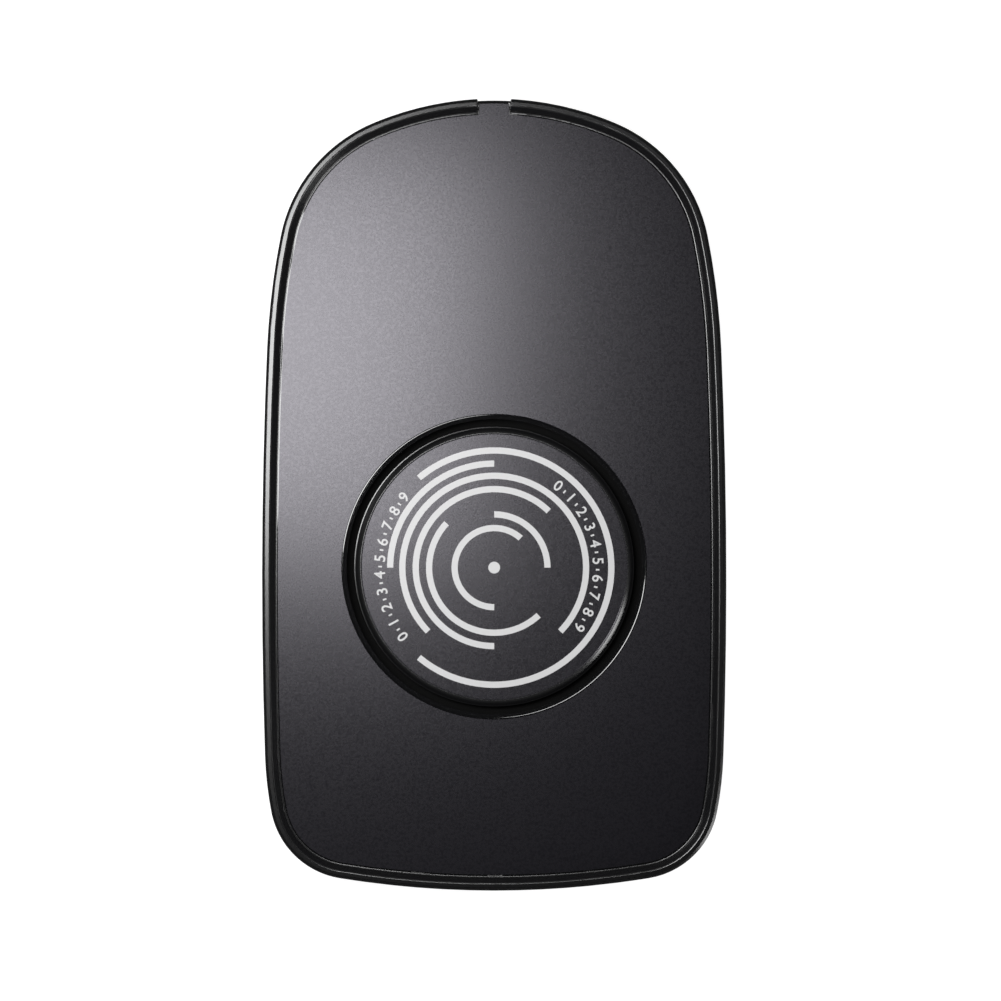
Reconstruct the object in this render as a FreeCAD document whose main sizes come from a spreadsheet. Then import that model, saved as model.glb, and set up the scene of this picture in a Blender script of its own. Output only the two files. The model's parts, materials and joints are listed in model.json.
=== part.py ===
"""A desk-top mouse jiggler: a mouse-shaped tray with a motor-driven dial under the mouse's optical sensor.

The case stands on four rubber feet and is split level with its USB-C inlet. A satin deck panel lies inside a
raised rim ring, which is open at the front for a mouse's cord. A thin stepper motor hangs under the deck and
turns the dial through a compound idler gear: motor pinion, idler wheel, idler pinion, turntable gear.

Frame: millimetres, +Z up, +Y to the front (the cord notch), +X to the right, origin on the desk under the
middle of the case.
"""

import FreeCAD, Part

import math
import os
import re

import Sketcher
from FreeCAD import Rotation, Vector

doc = FreeCAD.newDocument("MouseJiggler")
sheet = doc.addObject("Spreadsheet::Sheet", "Sheet")

# The driving dimensions: millimetres, degrees or counts.
CELLS = (
    # outline of the case, seen from above: seven tangent arcs a side
    ("case_length", 130.0),
    ("nose_radius", 51.1),
    ("shoulder_radius", 25.4),
    ("flank_radius", 122.0),
    ("quarter_radius", 59.0),
    ("corner_radius", 13.6),
    ("nose_turn", 23.2),
    ("shoulder_turn", 55.5),
    ("flank_turn", 8.8),
    ("side_turn", 4.4),
    ("quarter_turn", 9.1),
    ("corner_turn", 69.8),
    # heights of the case
    ("case_height", 16.0),
    ("foot_proud", 0.8),
    ("floor_thickness", 1.6),
    ("parting_height", 7.2),
    ("rim_height", 1.6),
    ("deck_thickness", 1.0),
    ("web_thickness", 1.6),
    # walls, as insets from the outline
    ("parting_inset", 0.6),
    ("base_inset", 2.2),
    ("cavity_inset", 2.6),
    ("cavity_base_inset", 3.7),
    ("base_round", 1.2),
    ("seam_chamfer", 0.25),
    ("lip_inset", 1.8),
    ("lip_height", 1.0),
    ("lip_play", 0.05),
    # rim and deck
    ("rim_foot_inset", 2.35),
    ("rim_toe_inset", 2.15),
    ("rim_toe_round", 0.25),
    ("crest_inset", 1.2),
    ("crest_overrun", 1.3),
    ("shoulder_drop", 0.02),
    ("shoulder_round", 0.2),
    ("crest_round", 0.22),
    ("flank_bevel", 0.48),
    ("flank_bevel_drop", 0.27),
    ("flank_round", 0.1),
    ("rim_end_round", 0.2),
    ("rim_seam_round", 0.12),
    ("rim_peg_radius", 0.5),
    ("rim_peg_length", 1.2),
    ("rim_peg_side_x", 36.7),
    ("rim_peg_side_y", -4.0),
    ("rim_peg_nose_x", 8.0),
    ("rim_peg_nose_y", 63.15),
    ("rim_peg_tail_y", -63.8),
    ("notch_width", 5.4),
    ("tongue_width", 5.2),
    ("tongue_inset", 0.6),
    ("sill_drop", 0.35),
    ("sill_overrun", 1.3),
    ("deck_play", 0.05),
    ("deck_hole_play", 0.25),
    ("deck_chamfer", 0.15),
    # turntable
    ("dial_y", -11.85),
    ("dial_radius", 21.95),
    ("dial_thickness", 0.8),
    ("dial_bevel", 0.2),
    ("dial_bevel_drop", 0.17),
    ("dial_drop", 0.3),
    ("carrier_radius", 23.0),
    ("carrier_thickness", 1.9),
    ("carrier_land", 0.06),
    ("carrier_bevel_drop", 0.75),
    ("carrier_ledge", 0.14),
    ("carrier_ledge_drop", 0.03),
    ("well_radius", 24.3),
    ("well_lip_radius", 24.73),
    ("well_lip_drop", 0.1),
    ("well_lip_round", 0.2),
    ("well_wall", 1.2),
    ("well_floor_thickness", 1.2),
    ("well_floor_drop", 2.8),
    ("felt_inner_radius", 20.0),
    ("felt_thickness", 0.5),
    ("spindle_radius", 3.0),
    ("spindle_flat", 2.4),
    ("spindle_bottom", 6.9),
    ("spindle_hole_spare", 0.5),
    ("running_play", 0.03),
    ("bush_radius", 4.5),
    ("bush_flange_radius", 5.5),
    ("bush_flange_thickness", 0.5),
    ("bush_length", 2.2),
    ("bush_boss_wall", 2.0),
    ("washer_radius", 4.5),
    ("washer_thickness", 0.5),
    # gear train, all of one module
    ("gear_module", 0.5),
    ("dedendum", 1.25),
    ("pressure_angle", 20.0),
    ("backlash", 0.1),
    ("table_teeth", 80),
    ("idler_pinion_teeth", 16),
    ("idler_wheel_teeth", 48),
    ("motor_pinion_teeth", 16),
    ("train_angle", 70.0),
    ("table_gear_bottom", 7.0),
    ("table_gear_width", 2.2),
    ("table_gear_web", 1.0),
    ("table_gear_hub_radius", 6.0),
    ("table_gear_rim_radius", 17.2),
    ("table_gear_hole_radius", 3.6),
    ("table_gear_hole_circle", 11.6),
    ("table_gear_holes", 6),
    ("idler_wheel_bottom", 3.1),
    ("idler_wheel_width", 1.5),
    ("idler_top", 9.0),
    ("idler_pin_radius", 1.0),
    ("idler_pin_bottom", 1.6),
    ("idler_pin_top", 9.9),
    ("idler_boss_radius", 2.5),
    ("idler_boss_bottom", 1.0),
    ("idler_boss_top", 2.9),
    ("socket_bottom", 9.3),
    ("motor_pinion_bottom", 3.2),
    ("motor_pinion_width", 1.4),
    # stepper motor, shaft down
    ("motor_radius", 10.0),
    ("motor_flange_bottom", 5.0),
    ("motor_flange_thickness", 0.7),
    ("motor_ear_reach", 12.5),
    ("motor_ear_radius", 2.4),
    ("motor_cup_wall", 0.5),
    ("motor_shaft_radius", 0.75),
    ("motor_shaft_bottom", 2.9),
    ("motor_shaft_end_gap", 0.3),
    ("motor_magnet_radius", 5.2),
    ("motor_magnet_play", 0.5),
    ("motor_pole_radius", 5.5),
    ("motor_pole_thickness", 0.5),
    ("motor_coil_radius", 9.2),
    ("motor_coil_gap", 0.2),
    ("motor_bearing_radius", 2.0),
    ("motor_bearing_length", 1.3),
    ("motor_boss_radius", 2.2),
    # fasteners
    ("case_screw_x_front", 28.5),
    ("case_screw_y_front", 38.0),
    ("case_screw_x_rear", 30.0),
    ("case_screw_y_rear", -46.0),
    ("case_boss_radius", 3.2),
    ("case_screw_radius", 1.1),
    ("case_screw_clearance", 1.35),
    ("case_screw_head_radius", 2.2),
    ("case_screw_head_thickness", 1.5),
    ("case_screw_sink", 1.2),
    ("case_screw_grip", 7.0),
    ("counterbore_radius", 2.5),
    ("small_screw_radius", 0.8),
    ("small_screw_clearance", 0.9),
    ("small_screw_head_radius", 1.7),
    ("small_screw_head_thickness", 1.1),
    ("small_screw_grip", 3.4),
    ("recess_width", 0.5),
    ("recess_depth", 0.6),
    ("recess_reach", 0.6),
    # feet
    ("foot_thickness", 1.6),
    ("foot_width", 6.0),
    ("foot_length", 15.0),
    ("foot_round", 0.4),
    ("foot_play", 0.1),
    ("foot_x_front", 17.0),
    ("foot_y_front", 51.0),
    ("foot_x_rear", 21.0),
    ("foot_y_rear", -56.0),
    # plain recess for a rating plate
    ("plate_length", 44.0),
    ("plate_width", 20.0),
    ("plate_round", 2.0),
    ("plate_depth", 0.25),
    ("plate_y", -16.0),
    # circuit board
    ("board_bottom", 4.4),
    ("board_thickness", 1.2),
    ("board_inset", 4.0),
    ("board_left_width", 30.0),
    ("board_rear_y", 16.0),
    ("board_front_y", 58.6),
    ("board_step_x", -6.0),
    ("board_step_y", 40.0),
    ("board_right_x", 17.0),
    ("board_post_radius", 2.0),
    ("board_post_left_x", -28.0),
    ("board_post_left_y", 20.0),
    ("board_post_middle_x", -11.0),
    ("board_post_middle_y", 44.0),
    ("board_post_right_x", 14.0),
    ("board_post_right_y", 46.0),
    ("board_pilot_depth", 0.4),
    ("board_gap", 0.4),
    # USB-C receptacle
    ("inlet_width", 8.94),
    ("inlet_height", 3.2),
    ("inlet_length", 7.35),
    ("inlet_wall", 0.25),
    ("inlet_back", 1.0),
    ("inlet_mouth_y", 63.7),
    ("inlet_play", 0.25),
    ("inlet_slot_spare", 1.0),
    ("inlet_tongue_width", 6.6),
    ("inlet_tongue_height", 0.7),
    ("inlet_tongue_recess", 0.8),
    # power switch on the left wall
    ("switch_y", 24.0),
    ("switch_wall_x", 36.54),
    ("switch_travel", 2.0),
    ("switch_case_x", -33.9),
    ("switch_case_depth", 3.8),
    ("switch_case_length", 8.6),
    ("switch_case_height", 3.2),
    ("switch_window_depth", 1.6),
    ("switch_stem_width", 1.4),
    ("switch_stem_play", 0.3),
    ("knob_length", 4.2),
    ("knob_height", 2.2),
    ("knob_proud", 0.3),
    ("knob_depth", 2.4),
    ("knob_groove", 0.3),
    ("knob_grooves", 4),
    ("knob_play", 0.25),
    ("pocket_length", 10.0),
    ("pocket_height", 4.4),
    ("pocket_depth", 0.5),
    # indicator
    ("pipe_x", 12.0),
    ("pipe_radius", 0.9),
    ("pipe_back_y", 57.3),
    ("lamp_y", 55.3),
    ("lamp_width", 2.0),
    ("lamp_depth", 1.7),
    ("lamp_height", 2.0),
    # other parts on the board
    ("controller_size", 5.0),
    ("controller_x", -22.0),
    ("controller_y", 27.0),
    ("driver_length", 5.0),
    ("driver_width", 4.4),
    ("driver_x", -19.0),
    ("driver_y", 47.0),
    ("chip_height", 0.9),
    ("header_x", -11.4),
    ("header_y", 30.0),
    ("header_depth", 3.8),
    ("header_length", 6.0),
    ("header_height", 3.6),
    # motor leads and their terminal on the motor's side
    ("lead_radius", 0.4),
    ("lead_count", 4),
    ("lead_pitch", 1.0),
    ("lead_y", 31.5),
    ("lead_height", 8.2),
    ("terminal_x", 3.0),
    ("terminal_height", 2.0),
)

# Sizes that follow from the driving dimensions.
DERIVED = {
    "case_bottom": "foot_proud",
    "floor_top": "foot_proud + floor_thickness",
    "deck_top": "case_height - rim_height",
    "deck_seat": "deck_top - deck_thickness",
    "web_bottom": "deck_seat - web_thickness",
    "shoulder_bottom": "case_height - shoulder_drop",
    "flank_top": "shoulder_bottom - flank_bevel_drop",
    "rim_seam_inset": "parting_inset * (flank_top - deck_seat) / (flank_top - parting_height)",
    "well_floor_top": "deck_top - well_floor_drop",
    "well_floor_bottom": "well_floor_top - well_floor_thickness",
    "well_outer_radius": "well_radius + well_wall",
    "dial_top": "deck_top - dial_drop",
    "dial_bottom": "dial_top - dial_thickness",
    "carrier_bottom": "dial_top - carrier_thickness",
    "bush_bottom": "well_floor_top - bush_length",
    "bush_boss_radius": "bush_radius + bush_boss_wall",
    "table_gear_top": "table_gear_bottom + table_gear_width",
    "table_gear_recess": "(table_gear_width - table_gear_web) / 2",
    "idler_reach": "gear_module * (table_teeth + idler_pinion_teeth) / 2",
    "motor_reach": "gear_module * (idler_wheel_teeth + motor_pinion_teeth) / 2",
    "idler_x": "idler_reach * cos(train_angle * 1 deg)",
    "idler_y": "dial_y + idler_reach * sin(train_angle * 1 deg)",
    "motor_x": "idler_x + motor_reach * cos(train_angle * 1 deg)",
    "motor_y": "idler_y + motor_reach * sin(train_angle * 1 deg)",
    "cup_bottom": "motor_flange_bottom + motor_flange_thickness",
    "cup_middle": "(cup_bottom + web_bottom) / 2",
    "case_screw_base": "case_bottom + case_screw_sink",
    "board_top": "board_bottom + board_thickness",
    "inlet_middle": "board_top + inlet_height / 2",
    "inlet_back_y": "inlet_mouth_y - inlet_length",
}
SIZES = dict(CELLS)


def expand(text):
    """An expression for FreeCAD from one written with the plain names above."""

    def name(match):
        word = match.group(0)
        if word in DERIVED:
            return "(" + expand(DERIVED[word]) + ")"
        return "Sheet." + word if word in SIZES else word

    return re.sub(r"[a-z_]+", name, str(text))


def size(text):
    """The present value of such an expression, as a number."""
    found = sheet.evalExpression(expand(text))
    return float(getattr(found, "Value", found))


def bind(thing, **expressions):
    """Binds properties of a document object to expressions."""
    for prop, text in expressions.items():
        thing.setExpression(prop.replace("__", "."), expand(text))
    return thing


def place(thing, x="0", y="0", z="0"):
    """Binds the position of a document object."""
    return bind(thing, Placement__Base__x=x, Placement__Base__y=y, Placement__Base__z=z)


for row, (alias, number) in enumerate(CELLS, 1):
    sheet.set(f"A{row}", alias)
    sheet.set(f"B{row}", str(number))
    sheet.setAlias(f"B{row}", alias)
doc.recompute()

subparts = []


def keep(label, thing):
    """Names a finished sub-part, which is written to a file of that name."""
    thing.Label = label
    subparts.append(thing)
    return thing


# ---------------------------------------------------------------- sketches

START, END, CENTRE = 1, 2, 3
ORIGIN, HORIZONTAL, VERTICAL = -1, -1, -2
TOUCH = 1e-4


def outline_radii():
    """The radii of one side's seven arcs, and the angle of the outline's normal at each joint.

    The side and tail radii are the two that close the outline at the stated length.
    """
    normals = [0.0]
    for part in ("nose", "shoulder", "flank", "side", "quarter", "corner"):
        normals.append(normals[-1] + math.radians(size(part + "_turn")))
    normals.append(math.pi)
    side, tail = 3, 6
    radii = {
        0: size("nose_radius"),
        1: size("shoulder_radius"),
        2: size("flank_radius"),
        4: size("quarter_radius"),
        5: size("corner_radius"),
    }

    def along(i):
        return math.cos(normals[i]) - math.cos(normals[i + 1])

    def across(i):
        return math.sin(normals[i + 1]) - math.sin(normals[i])

    length_left = size("case_length") - sum(r * along(i) for i, r in radii.items())
    width_left = -sum(r * across(i) for i, r in radii.items())
    divisor = along(side) * across(tail) - along(tail) * across(side)
    radii[side] = (length_left * across(tail) - along(tail) * width_left) / divisor
    radii[tail] = (along(side) * width_left - across(side) * length_left) / divisor
    return [radii[i] for i in range(7)], normals


def draw_outline():
    """The case outline as a fully constrained sketch of tangent arcs, mirrored about the Y axis."""
    sketch = doc.addObject("Sketcher::SketchObject", "Outline")
    radii, normals = outline_radii()
    last = len(radii) - 1
    x, y = 0.0, size("case_length / 2")
    right, left = [], []
    for i, radius in enumerate(radii):
        centre_x = x - radius * math.sin(normals[i])
        centre_y = y - radius * math.cos(normals[i])
        x = centre_x + radius * math.sin(normals[i + 1])
        y = centre_y + radius * math.cos(normals[i + 1])
        low, high = math.pi / 2 - normals[i + 1], math.pi / 2 - normals[i]
        circle = Part.Circle(Vector(centre_x, centre_y, 0), Vector(0, 0, 1), radius)
        mirror = Part.Circle(Vector(-centre_x, centre_y, 0), Vector(0, 0, 1), radius)
        right.append(sketch.addGeometry(Part.ArcOfCircle(circle, low, high), False))
        left.append(sketch.addGeometry(Part.ArcOfCircle(mirror, math.pi - high, math.pi - low), False))

    def rule(kind, *what, bound_to=None):
        index = sketch.addConstraint(Sketcher.Constraint(kind, *what))
        if bound_to:
            sketch.setExpression(f"Constraints[{index}]", expand(bound_to))

    for upper, lower in zip(right, right[1:]):
        rule("Tangent", upper, START, lower, END)
    for arc, point in ((right[0], END), (right[last], START)):
        rule("PointOnObject", arc, point, VERTICAL)
        rule("PointOnObject", arc, CENTRE, VERTICAL)
    half = size("case_length / 2")
    rule("DistanceY", ORIGIN, 1, right[0], END, half, bound_to="case_length / 2")
    rule("DistanceY", right[last], START, ORIGIN, 1, half, bound_to="case_length / 2")
    for i, part in ((0, "nose"), (1, "shoulder"), (2, "flank"), (4, "quarter"), (5, "corner")):
        rule("Radius", right[i], radii[i], bound_to=part + "_radius")
    for i, part in enumerate(("nose", "shoulder", "flank", "side", "quarter", "corner")):
        turn = normals[i + 1] - normals[i]
        rule("Angle", right[i], turn, bound_to=part + "_turn * 1 deg")
    for i, (one, other) in enumerate(zip(right, left)):
        rule("Equal", one, other)
        if i == 0:
            rule("Coincident", one, END, other, START)
        else:
            rule("Symmetric", one, END, other, START, VERTICAL)
        if i == last:
            rule("Coincident", one, START, other, END)
        else:
            rule("Symmetric", one, START, other, END, VERTICAL)
    return sketch


def draw_polygon(body, plane, points):
    """A closed sketch on one of the body's own planes, each corner bound to a pair of expressions."""
    sketch = body.newObject("Sketcher::SketchObject", body.Name + "_Sketch")
    support = next(f for f in body.Origin.OriginFeatures if f.Role == plane)
    sketch.AttachmentSupport = [(support, "")]
    sketch.MapMode = "FlatFace"
    corners = [Vector(size(a), size(b), 0) for a, b in points]
    lines = []
    for here, there in zip(corners, corners[1:] + corners[:1]):
        lines.append(sketch.addGeometry(Part.LineSegment(here, there), False))
    for before, after in zip(lines[-1:] + lines[:-1], lines):
        sketch.addConstraint(Sketcher.Constraint("Coincident", before, END, after, START))
    for line, corner, texts in zip(lines, corners, points):
        for kind, value, text, axis in (
            ("DistanceX", corner.x, texts[0], VERTICAL),
            ("DistanceY", corner.y, texts[1], HORIZONTAL),
        ):
            if abs(value) < TOUCH:
                sketch.addConstraint(Sketcher.Constraint("PointOnObject", line, START, axis))
                continue
            ends = (ORIGIN, 1, line, START) if value > 0 else (line, START, ORIGIN, 1)
            index = sketch.addConstraint(Sketcher.Constraint(kind, *ends, abs(value)))
            sign = "" if value > 0 else "-"
            sketch.setExpression(f"Constraints[{index}]", expand(f"{sign}({text})"))
    return sketch


# ---------------------------------------------------------------- building blocks


def turned(name, *points):
    """A body turned about its own Z axis, from (radius, height) expressions round half its section."""
    body = doc.addObject("PartDesign::Body", name)
    sketch = draw_polygon(body, "XZ_Plane", points)
    spin = body.newObject("PartDesign::Revolution", name + "_Revolution")
    spin.Profile = sketch
    spin.ReferenceAxis = (sketch, ["V_Axis"])
    spin.Angle = 360
    return body


def block(name, x, y, z, length, width, height):
    """A box with its low corner at x, y, z."""
    box = doc.addObject("Part::Box", name)
    bind(box, Length=length, Width=width, Height=height)
    return place(box, x, y, z)


def post(name, radius, bottom, top, x="0", y="0"):
    """An upright cylinder between two heights."""
    cylinder = doc.addObject("Part::Cylinder", name)
    bind(cylinder, Radius=radius, Height=f"({top}) - ({bottom})")
    return place(cylinder, x, y, bottom)


def sleeve(name, bore, radius, bottom, top, x="0", y="0"):
    """An upright tube between two heights."""
    height = f"({top}) - ({bottom})"
    body = turned(name, (bore, "0"), (radius, "0"), (radius, height), (bore, height))
    return place(body, x, y, bottom)


def rod(name, radius, length, x, y, z, axis):
    """A level cylinder along +X or +Y."""
    cylinder = doc.addObject("Part::Cylinder", name)
    bind(cylinder, Radius=radius, Height=length)
    cylinder.Placement.Rotation = Rotation(Vector(0, 0, 1), axis)
    return place(cylinder, x, y, z)


def fused(name, *things):
    """The union of several solids."""
    fuse = doc.addObject("Part::MultiFuse", name)
    fuse.Shapes = list(things)
    fuse.Refine = True
    return fuse


def cut(name, base, *tools):
    """A solid with the tools taken away."""
    tool = tools[0] if len(tools) == 1 else fused(name + "_Tools", *tools)
    result = doc.addObject("Part::Cut", name)
    result.Base = base
    result.Tool = tool
    result.Refine = True
    return result


def common(name, one, other):
    """What two solids share."""
    result = doc.addObject("Part::Common", name)
    result.Base = one
    result.Tool = other
    return result


def group(name, *things):
    """Several separate solids as one sub-part."""
    compound = doc.addObject("Part::Compound", name)
    compound.Links = list(things)
    return compound


def slab(name, start, end, inset="0", end_inset=None):
    """A solid that fills the outline from one height to another, up or down.

    It is moved inward from the outline by the inset, and tapers to the end inset if one is given.
    """
    line = outline
    if size(inset) > TOUCH:
        line = doc.addObject("Part::Offset2D", name + "_Line")
        line.Source = outline
        bind(line, Value=f"-({inset})")
    solid = doc.addObject("Part::Extrusion", name)
    solid.Base = line
    solid.DirMode = "Custom"
    solid.Solid = True
    upward = size(end) > size(start)
    solid.Dir = Vector(0, 0, 1 if upward else -1)
    length = f"({end}) - ({start})" if upward else f"({start}) - ({end})"
    bind(solid, LengthFwd=length)
    if end_inset is not None:
        bind(solid, TaperAngle=f"atan((({inset}) - ({end_inset})) / ({length}))")
    return place(solid, z=start)


def stadium(name, x, y, bottom, top, length, width):
    """An upright plate with half-round ends, lying along X."""
    straight = f"(({length}) - ({width}))"
    middle = block(
        name + "_Middle",
        f"({x}) - {straight} / 2",
        f"({y}) - ({width}) / 2",
        bottom,
        straight,
        width,
        f"({top}) - ({bottom})",
    )
    right = post(name + "_Right", f"({width}) / 2", bottom, top, f"({x}) + {straight} / 2", y)
    left = post(name + "_Left", f"({width}) / 2", bottom, top, f"({x}) - {straight} / 2", y)
    return fused(name, middle, right, left)


def inlet_bar(name, y, width, height, length):
    """A bar along Y, on the inlet's axis, whose section is a flat shape with half-round ends."""
    flat = f"(({width}) - ({height}))"
    middle = block(
        name + "_Middle",
        f"-{flat} / 2",
        y,
        f"inlet_middle - ({height}) / 2",
        flat,
        length,
        height,
    )
    right = rod(name + "_Right", f"({height}) / 2", length, f"{flat} / 2", y, "inlet_middle", Vector(0, 1, 0))
    left = rod(name + "_Left", f"({height}) / 2", length, f"-{flat} / 2", y, "inlet_middle", Vector(0, 1, 0))
    return fused(name, middle, right, left)


def rounded(name, base, kind, wanted):
    """Fillets or chamfers a solid's edges: wanted gives an edge's size, or nothing to leave it sharp."""
    doc.recompute()
    edges = []
    for number, edge in enumerate(base.Shape.Edges, 1):
        text = wanted(edge.BoundBox)
        if text:
            edges.append((number, size(text), size(text)))
    if not edges:
        raise RuntimeError(f"{name}: no edge to round")
    result = doc.addObject("Part::" + kind, name)
    result.Base = base
    result.Edges = edges
    return result


def level(box, text):
    """Whether an edge with this bounding box lies flat at a height."""
    height = size(text)
    return abs(box.ZMin - height) < TOUCH and abs(box.ZMax - height) < TOUCH


def upright(box, bottom, top):
    """Whether an edge with this bounding box runs straight up between two heights."""
    narrow = box.XLength < TOUCH and box.YLength < TOUCH
    return narrow and abs(box.ZMin - size(bottom)) < TOUCH and abs(box.ZMax - size(top)) < TOUCH


# ---------------------------------------------------------------- places

outline = draw_outline()
CASE_SCREWS = (
    ("case_screw_x_front", "case_screw_y_front"),
    ("-case_screw_x_front", "case_screw_y_front"),
    ("case_screw_x_rear", "case_screw_y_rear"),
    ("-case_screw_x_rear", "case_screw_y_rear"),
)
FEET = {
    "front_right_foot": ("foot_x_front", "foot_y_front"),
    "front_left_foot": ("-foot_x_front", "foot_y_front"),
    "rear_right_foot": ("foot_x_rear", "foot_y_rear"),
    "rear_left_foot": ("-foot_x_rear", "foot_y_rear"),
}
MOTOR_EARS = (("motor_x + motor_ear_reach", "motor_y"), ("motor_x - motor_ear_reach", "motor_y"))
BOARD_POSTS = (
    ("board_post_left_x", "board_post_left_y"),
    ("board_post_middle_x", "board_post_middle_y"),
    ("board_post_right_x", "board_post_right_y"),
)
RIM_PEGS = (
    ("rim_peg_side_x", "rim_peg_side_y"),
    ("-rim_peg_side_x", "rim_peg_side_y"),
    ("rim_peg_nose_x", "rim_peg_nose_y"),
    ("-rim_peg_nose_x", "rim_peg_nose_y"),
    ("0", "rim_peg_tail_y"),
)
IDLER = {"x": "idler_x", "y": "idler_y"}
MOTOR = {"x": "motor_x", "y": "motor_y"}
# How far a cutting tool runs past what it cuts.
PAST = "5"


def posts(name, places, radius, bottom, top):
    """The same upright cylinder at several places."""
    return [post(f"{name}_{i}", radius, bottom, top, x, y) for i, (x, y) in enumerate(places, 1)]


def wall_openings(name):
    """What passes through the walls: the inlet's slot, the knob's slot and pocket, the light pipe's hole."""
    slot_length = "knob_length + switch_travel + 2 * knob_play"
    slot_height = "knob_height + 2 * knob_play"
    return (
        inlet_bar(
            name + "_Inlet_Slot",
            "inlet_back_y - inlet_slot_spare",
            "inlet_width + 2 * inlet_play",
            "inlet_height + 2 * inlet_play",
            f"inlet_length + {PAST}",
        ),
        block(
            name + "_Knob_Slot",
            f"-switch_wall_x - {PAST}",
            f"switch_y - ({slot_length}) / 2",
            f"parting_height - ({slot_height}) / 2",
            f"2 * {PAST}",
            slot_length,
            slot_height,
        ),
        block(
            name + "_Knob_Pocket",
            f"-switch_wall_x - {PAST}",
            "switch_y - pocket_length / 2",
            "parting_height - pocket_height / 2",
            f"{PAST} + pocket_depth",
            "pocket_length",
            "pocket_height",
        ),
        pipe_bar(name + "_Pipe_Hole"),
    )


def pipe_bar(name):
    """A bar on the light pipe's axis, from the pipe's back end to outside the case."""
    return rod(name, "pipe_radius", f"2 * {PAST}", "pipe_x", "pipe_back_y", "inlet_middle", Vector(0, 1, 0))


# ---------------------------------------------------------------- case


def make_rim_ring():
    """The raised rim: a ring open at the front, with pegs that locate it on the upper shell.

    Its top falls slightly outward from the crest to a bevelled outer edge. Its inner side slopes down and
    flattens out at the deck.
    """
    wall = slab("Rim_Wall", "flank_top", "deck_seat", "0", "rim_seam_inset")
    bevel = slab("Rim_Bevel", "flank_top", "shoulder_bottom", "0", "flank_bevel")
    shoulder = slab(
        "Rim_Shoulder",
        "shoulder_bottom",
        "shoulder_bottom + crest_overrun * shoulder_drop",
        "flank_bevel",
        "flank_bevel + crest_overrun * (crest_inset - flank_bevel)",
    )
    tray = slab(
        "Rim_Tray",
        "deck_top",
        "deck_top + crest_overrun * rim_height",
        "rim_toe_inset",
        "rim_toe_inset - crest_overrun * (rim_toe_inset - crest_inset)",
    )
    tray = rounded("Rim_Toe", tray, "Fillet", lambda box: "rim_toe_round" if level(box, "deck_top") else None)
    seat = slab("Rim_Seat", "deck_seat", "deck_top", "rim_foot_inset")
    notch = block(
        "Rim_Notch",
        "-notch_width / 2",
        f"case_length / 2 - {PAST}",
        "deck_seat",
        "notch_width",
        f"2 * {PAST}",
        f"case_height - deck_seat + {PAST}",
    )
    ring = cut("Rim_Hull", fused("Rim_Blank", wall, bevel, shoulder), tray, seat)

    def softened(box):
        if level(box, "case_height"):
            return "crest_round"
        if level(box, "shoulder_bottom"):
            return "shoulder_round"
        return "flank_round" if level(box, "flank_top") else None

    ring = cut("Rim_Open", rounded("Rim_Softened", ring, "Fillet", softened), notch)

    def at_end(box):
        on_face = abs(abs(box.XMin) - size("notch_width / 2")) < TOUCH and box.XLength < TOUCH
        return "rim_end_round" if on_face and box.ZMin > size("deck_top") - TOUCH else None

    ring = rounded("Rim_Ends", ring, "Fillet", at_end)
    pegs = posts("Rim_Peg", RIM_PEGS, "rim_peg_radius", "deck_seat - rim_peg_length", "deck_seat")
    return fused("Rim_Ring", ring, *pegs)


def sill_waste():
    """What is taken off the side wall's top in the rim's notch, so that the sill there falls outward."""
    rise = "sill_overrun * sill_drop"
    bottom = "deck_seat - sill_drop"
    over = block(
        "Sill_Block",
        "-notch_width / 2",
        f"case_length / 2 - {PAST}",
        bottom,
        "notch_width",
        f"2 * {PAST}",
        rise,
    )
    kept = slab("Sill_Kept", bottom, f"{bottom} + {rise}", "0", "sill_overrun * tongue_inset")
    return cut("Sill_Waste", over, kept)


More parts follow.
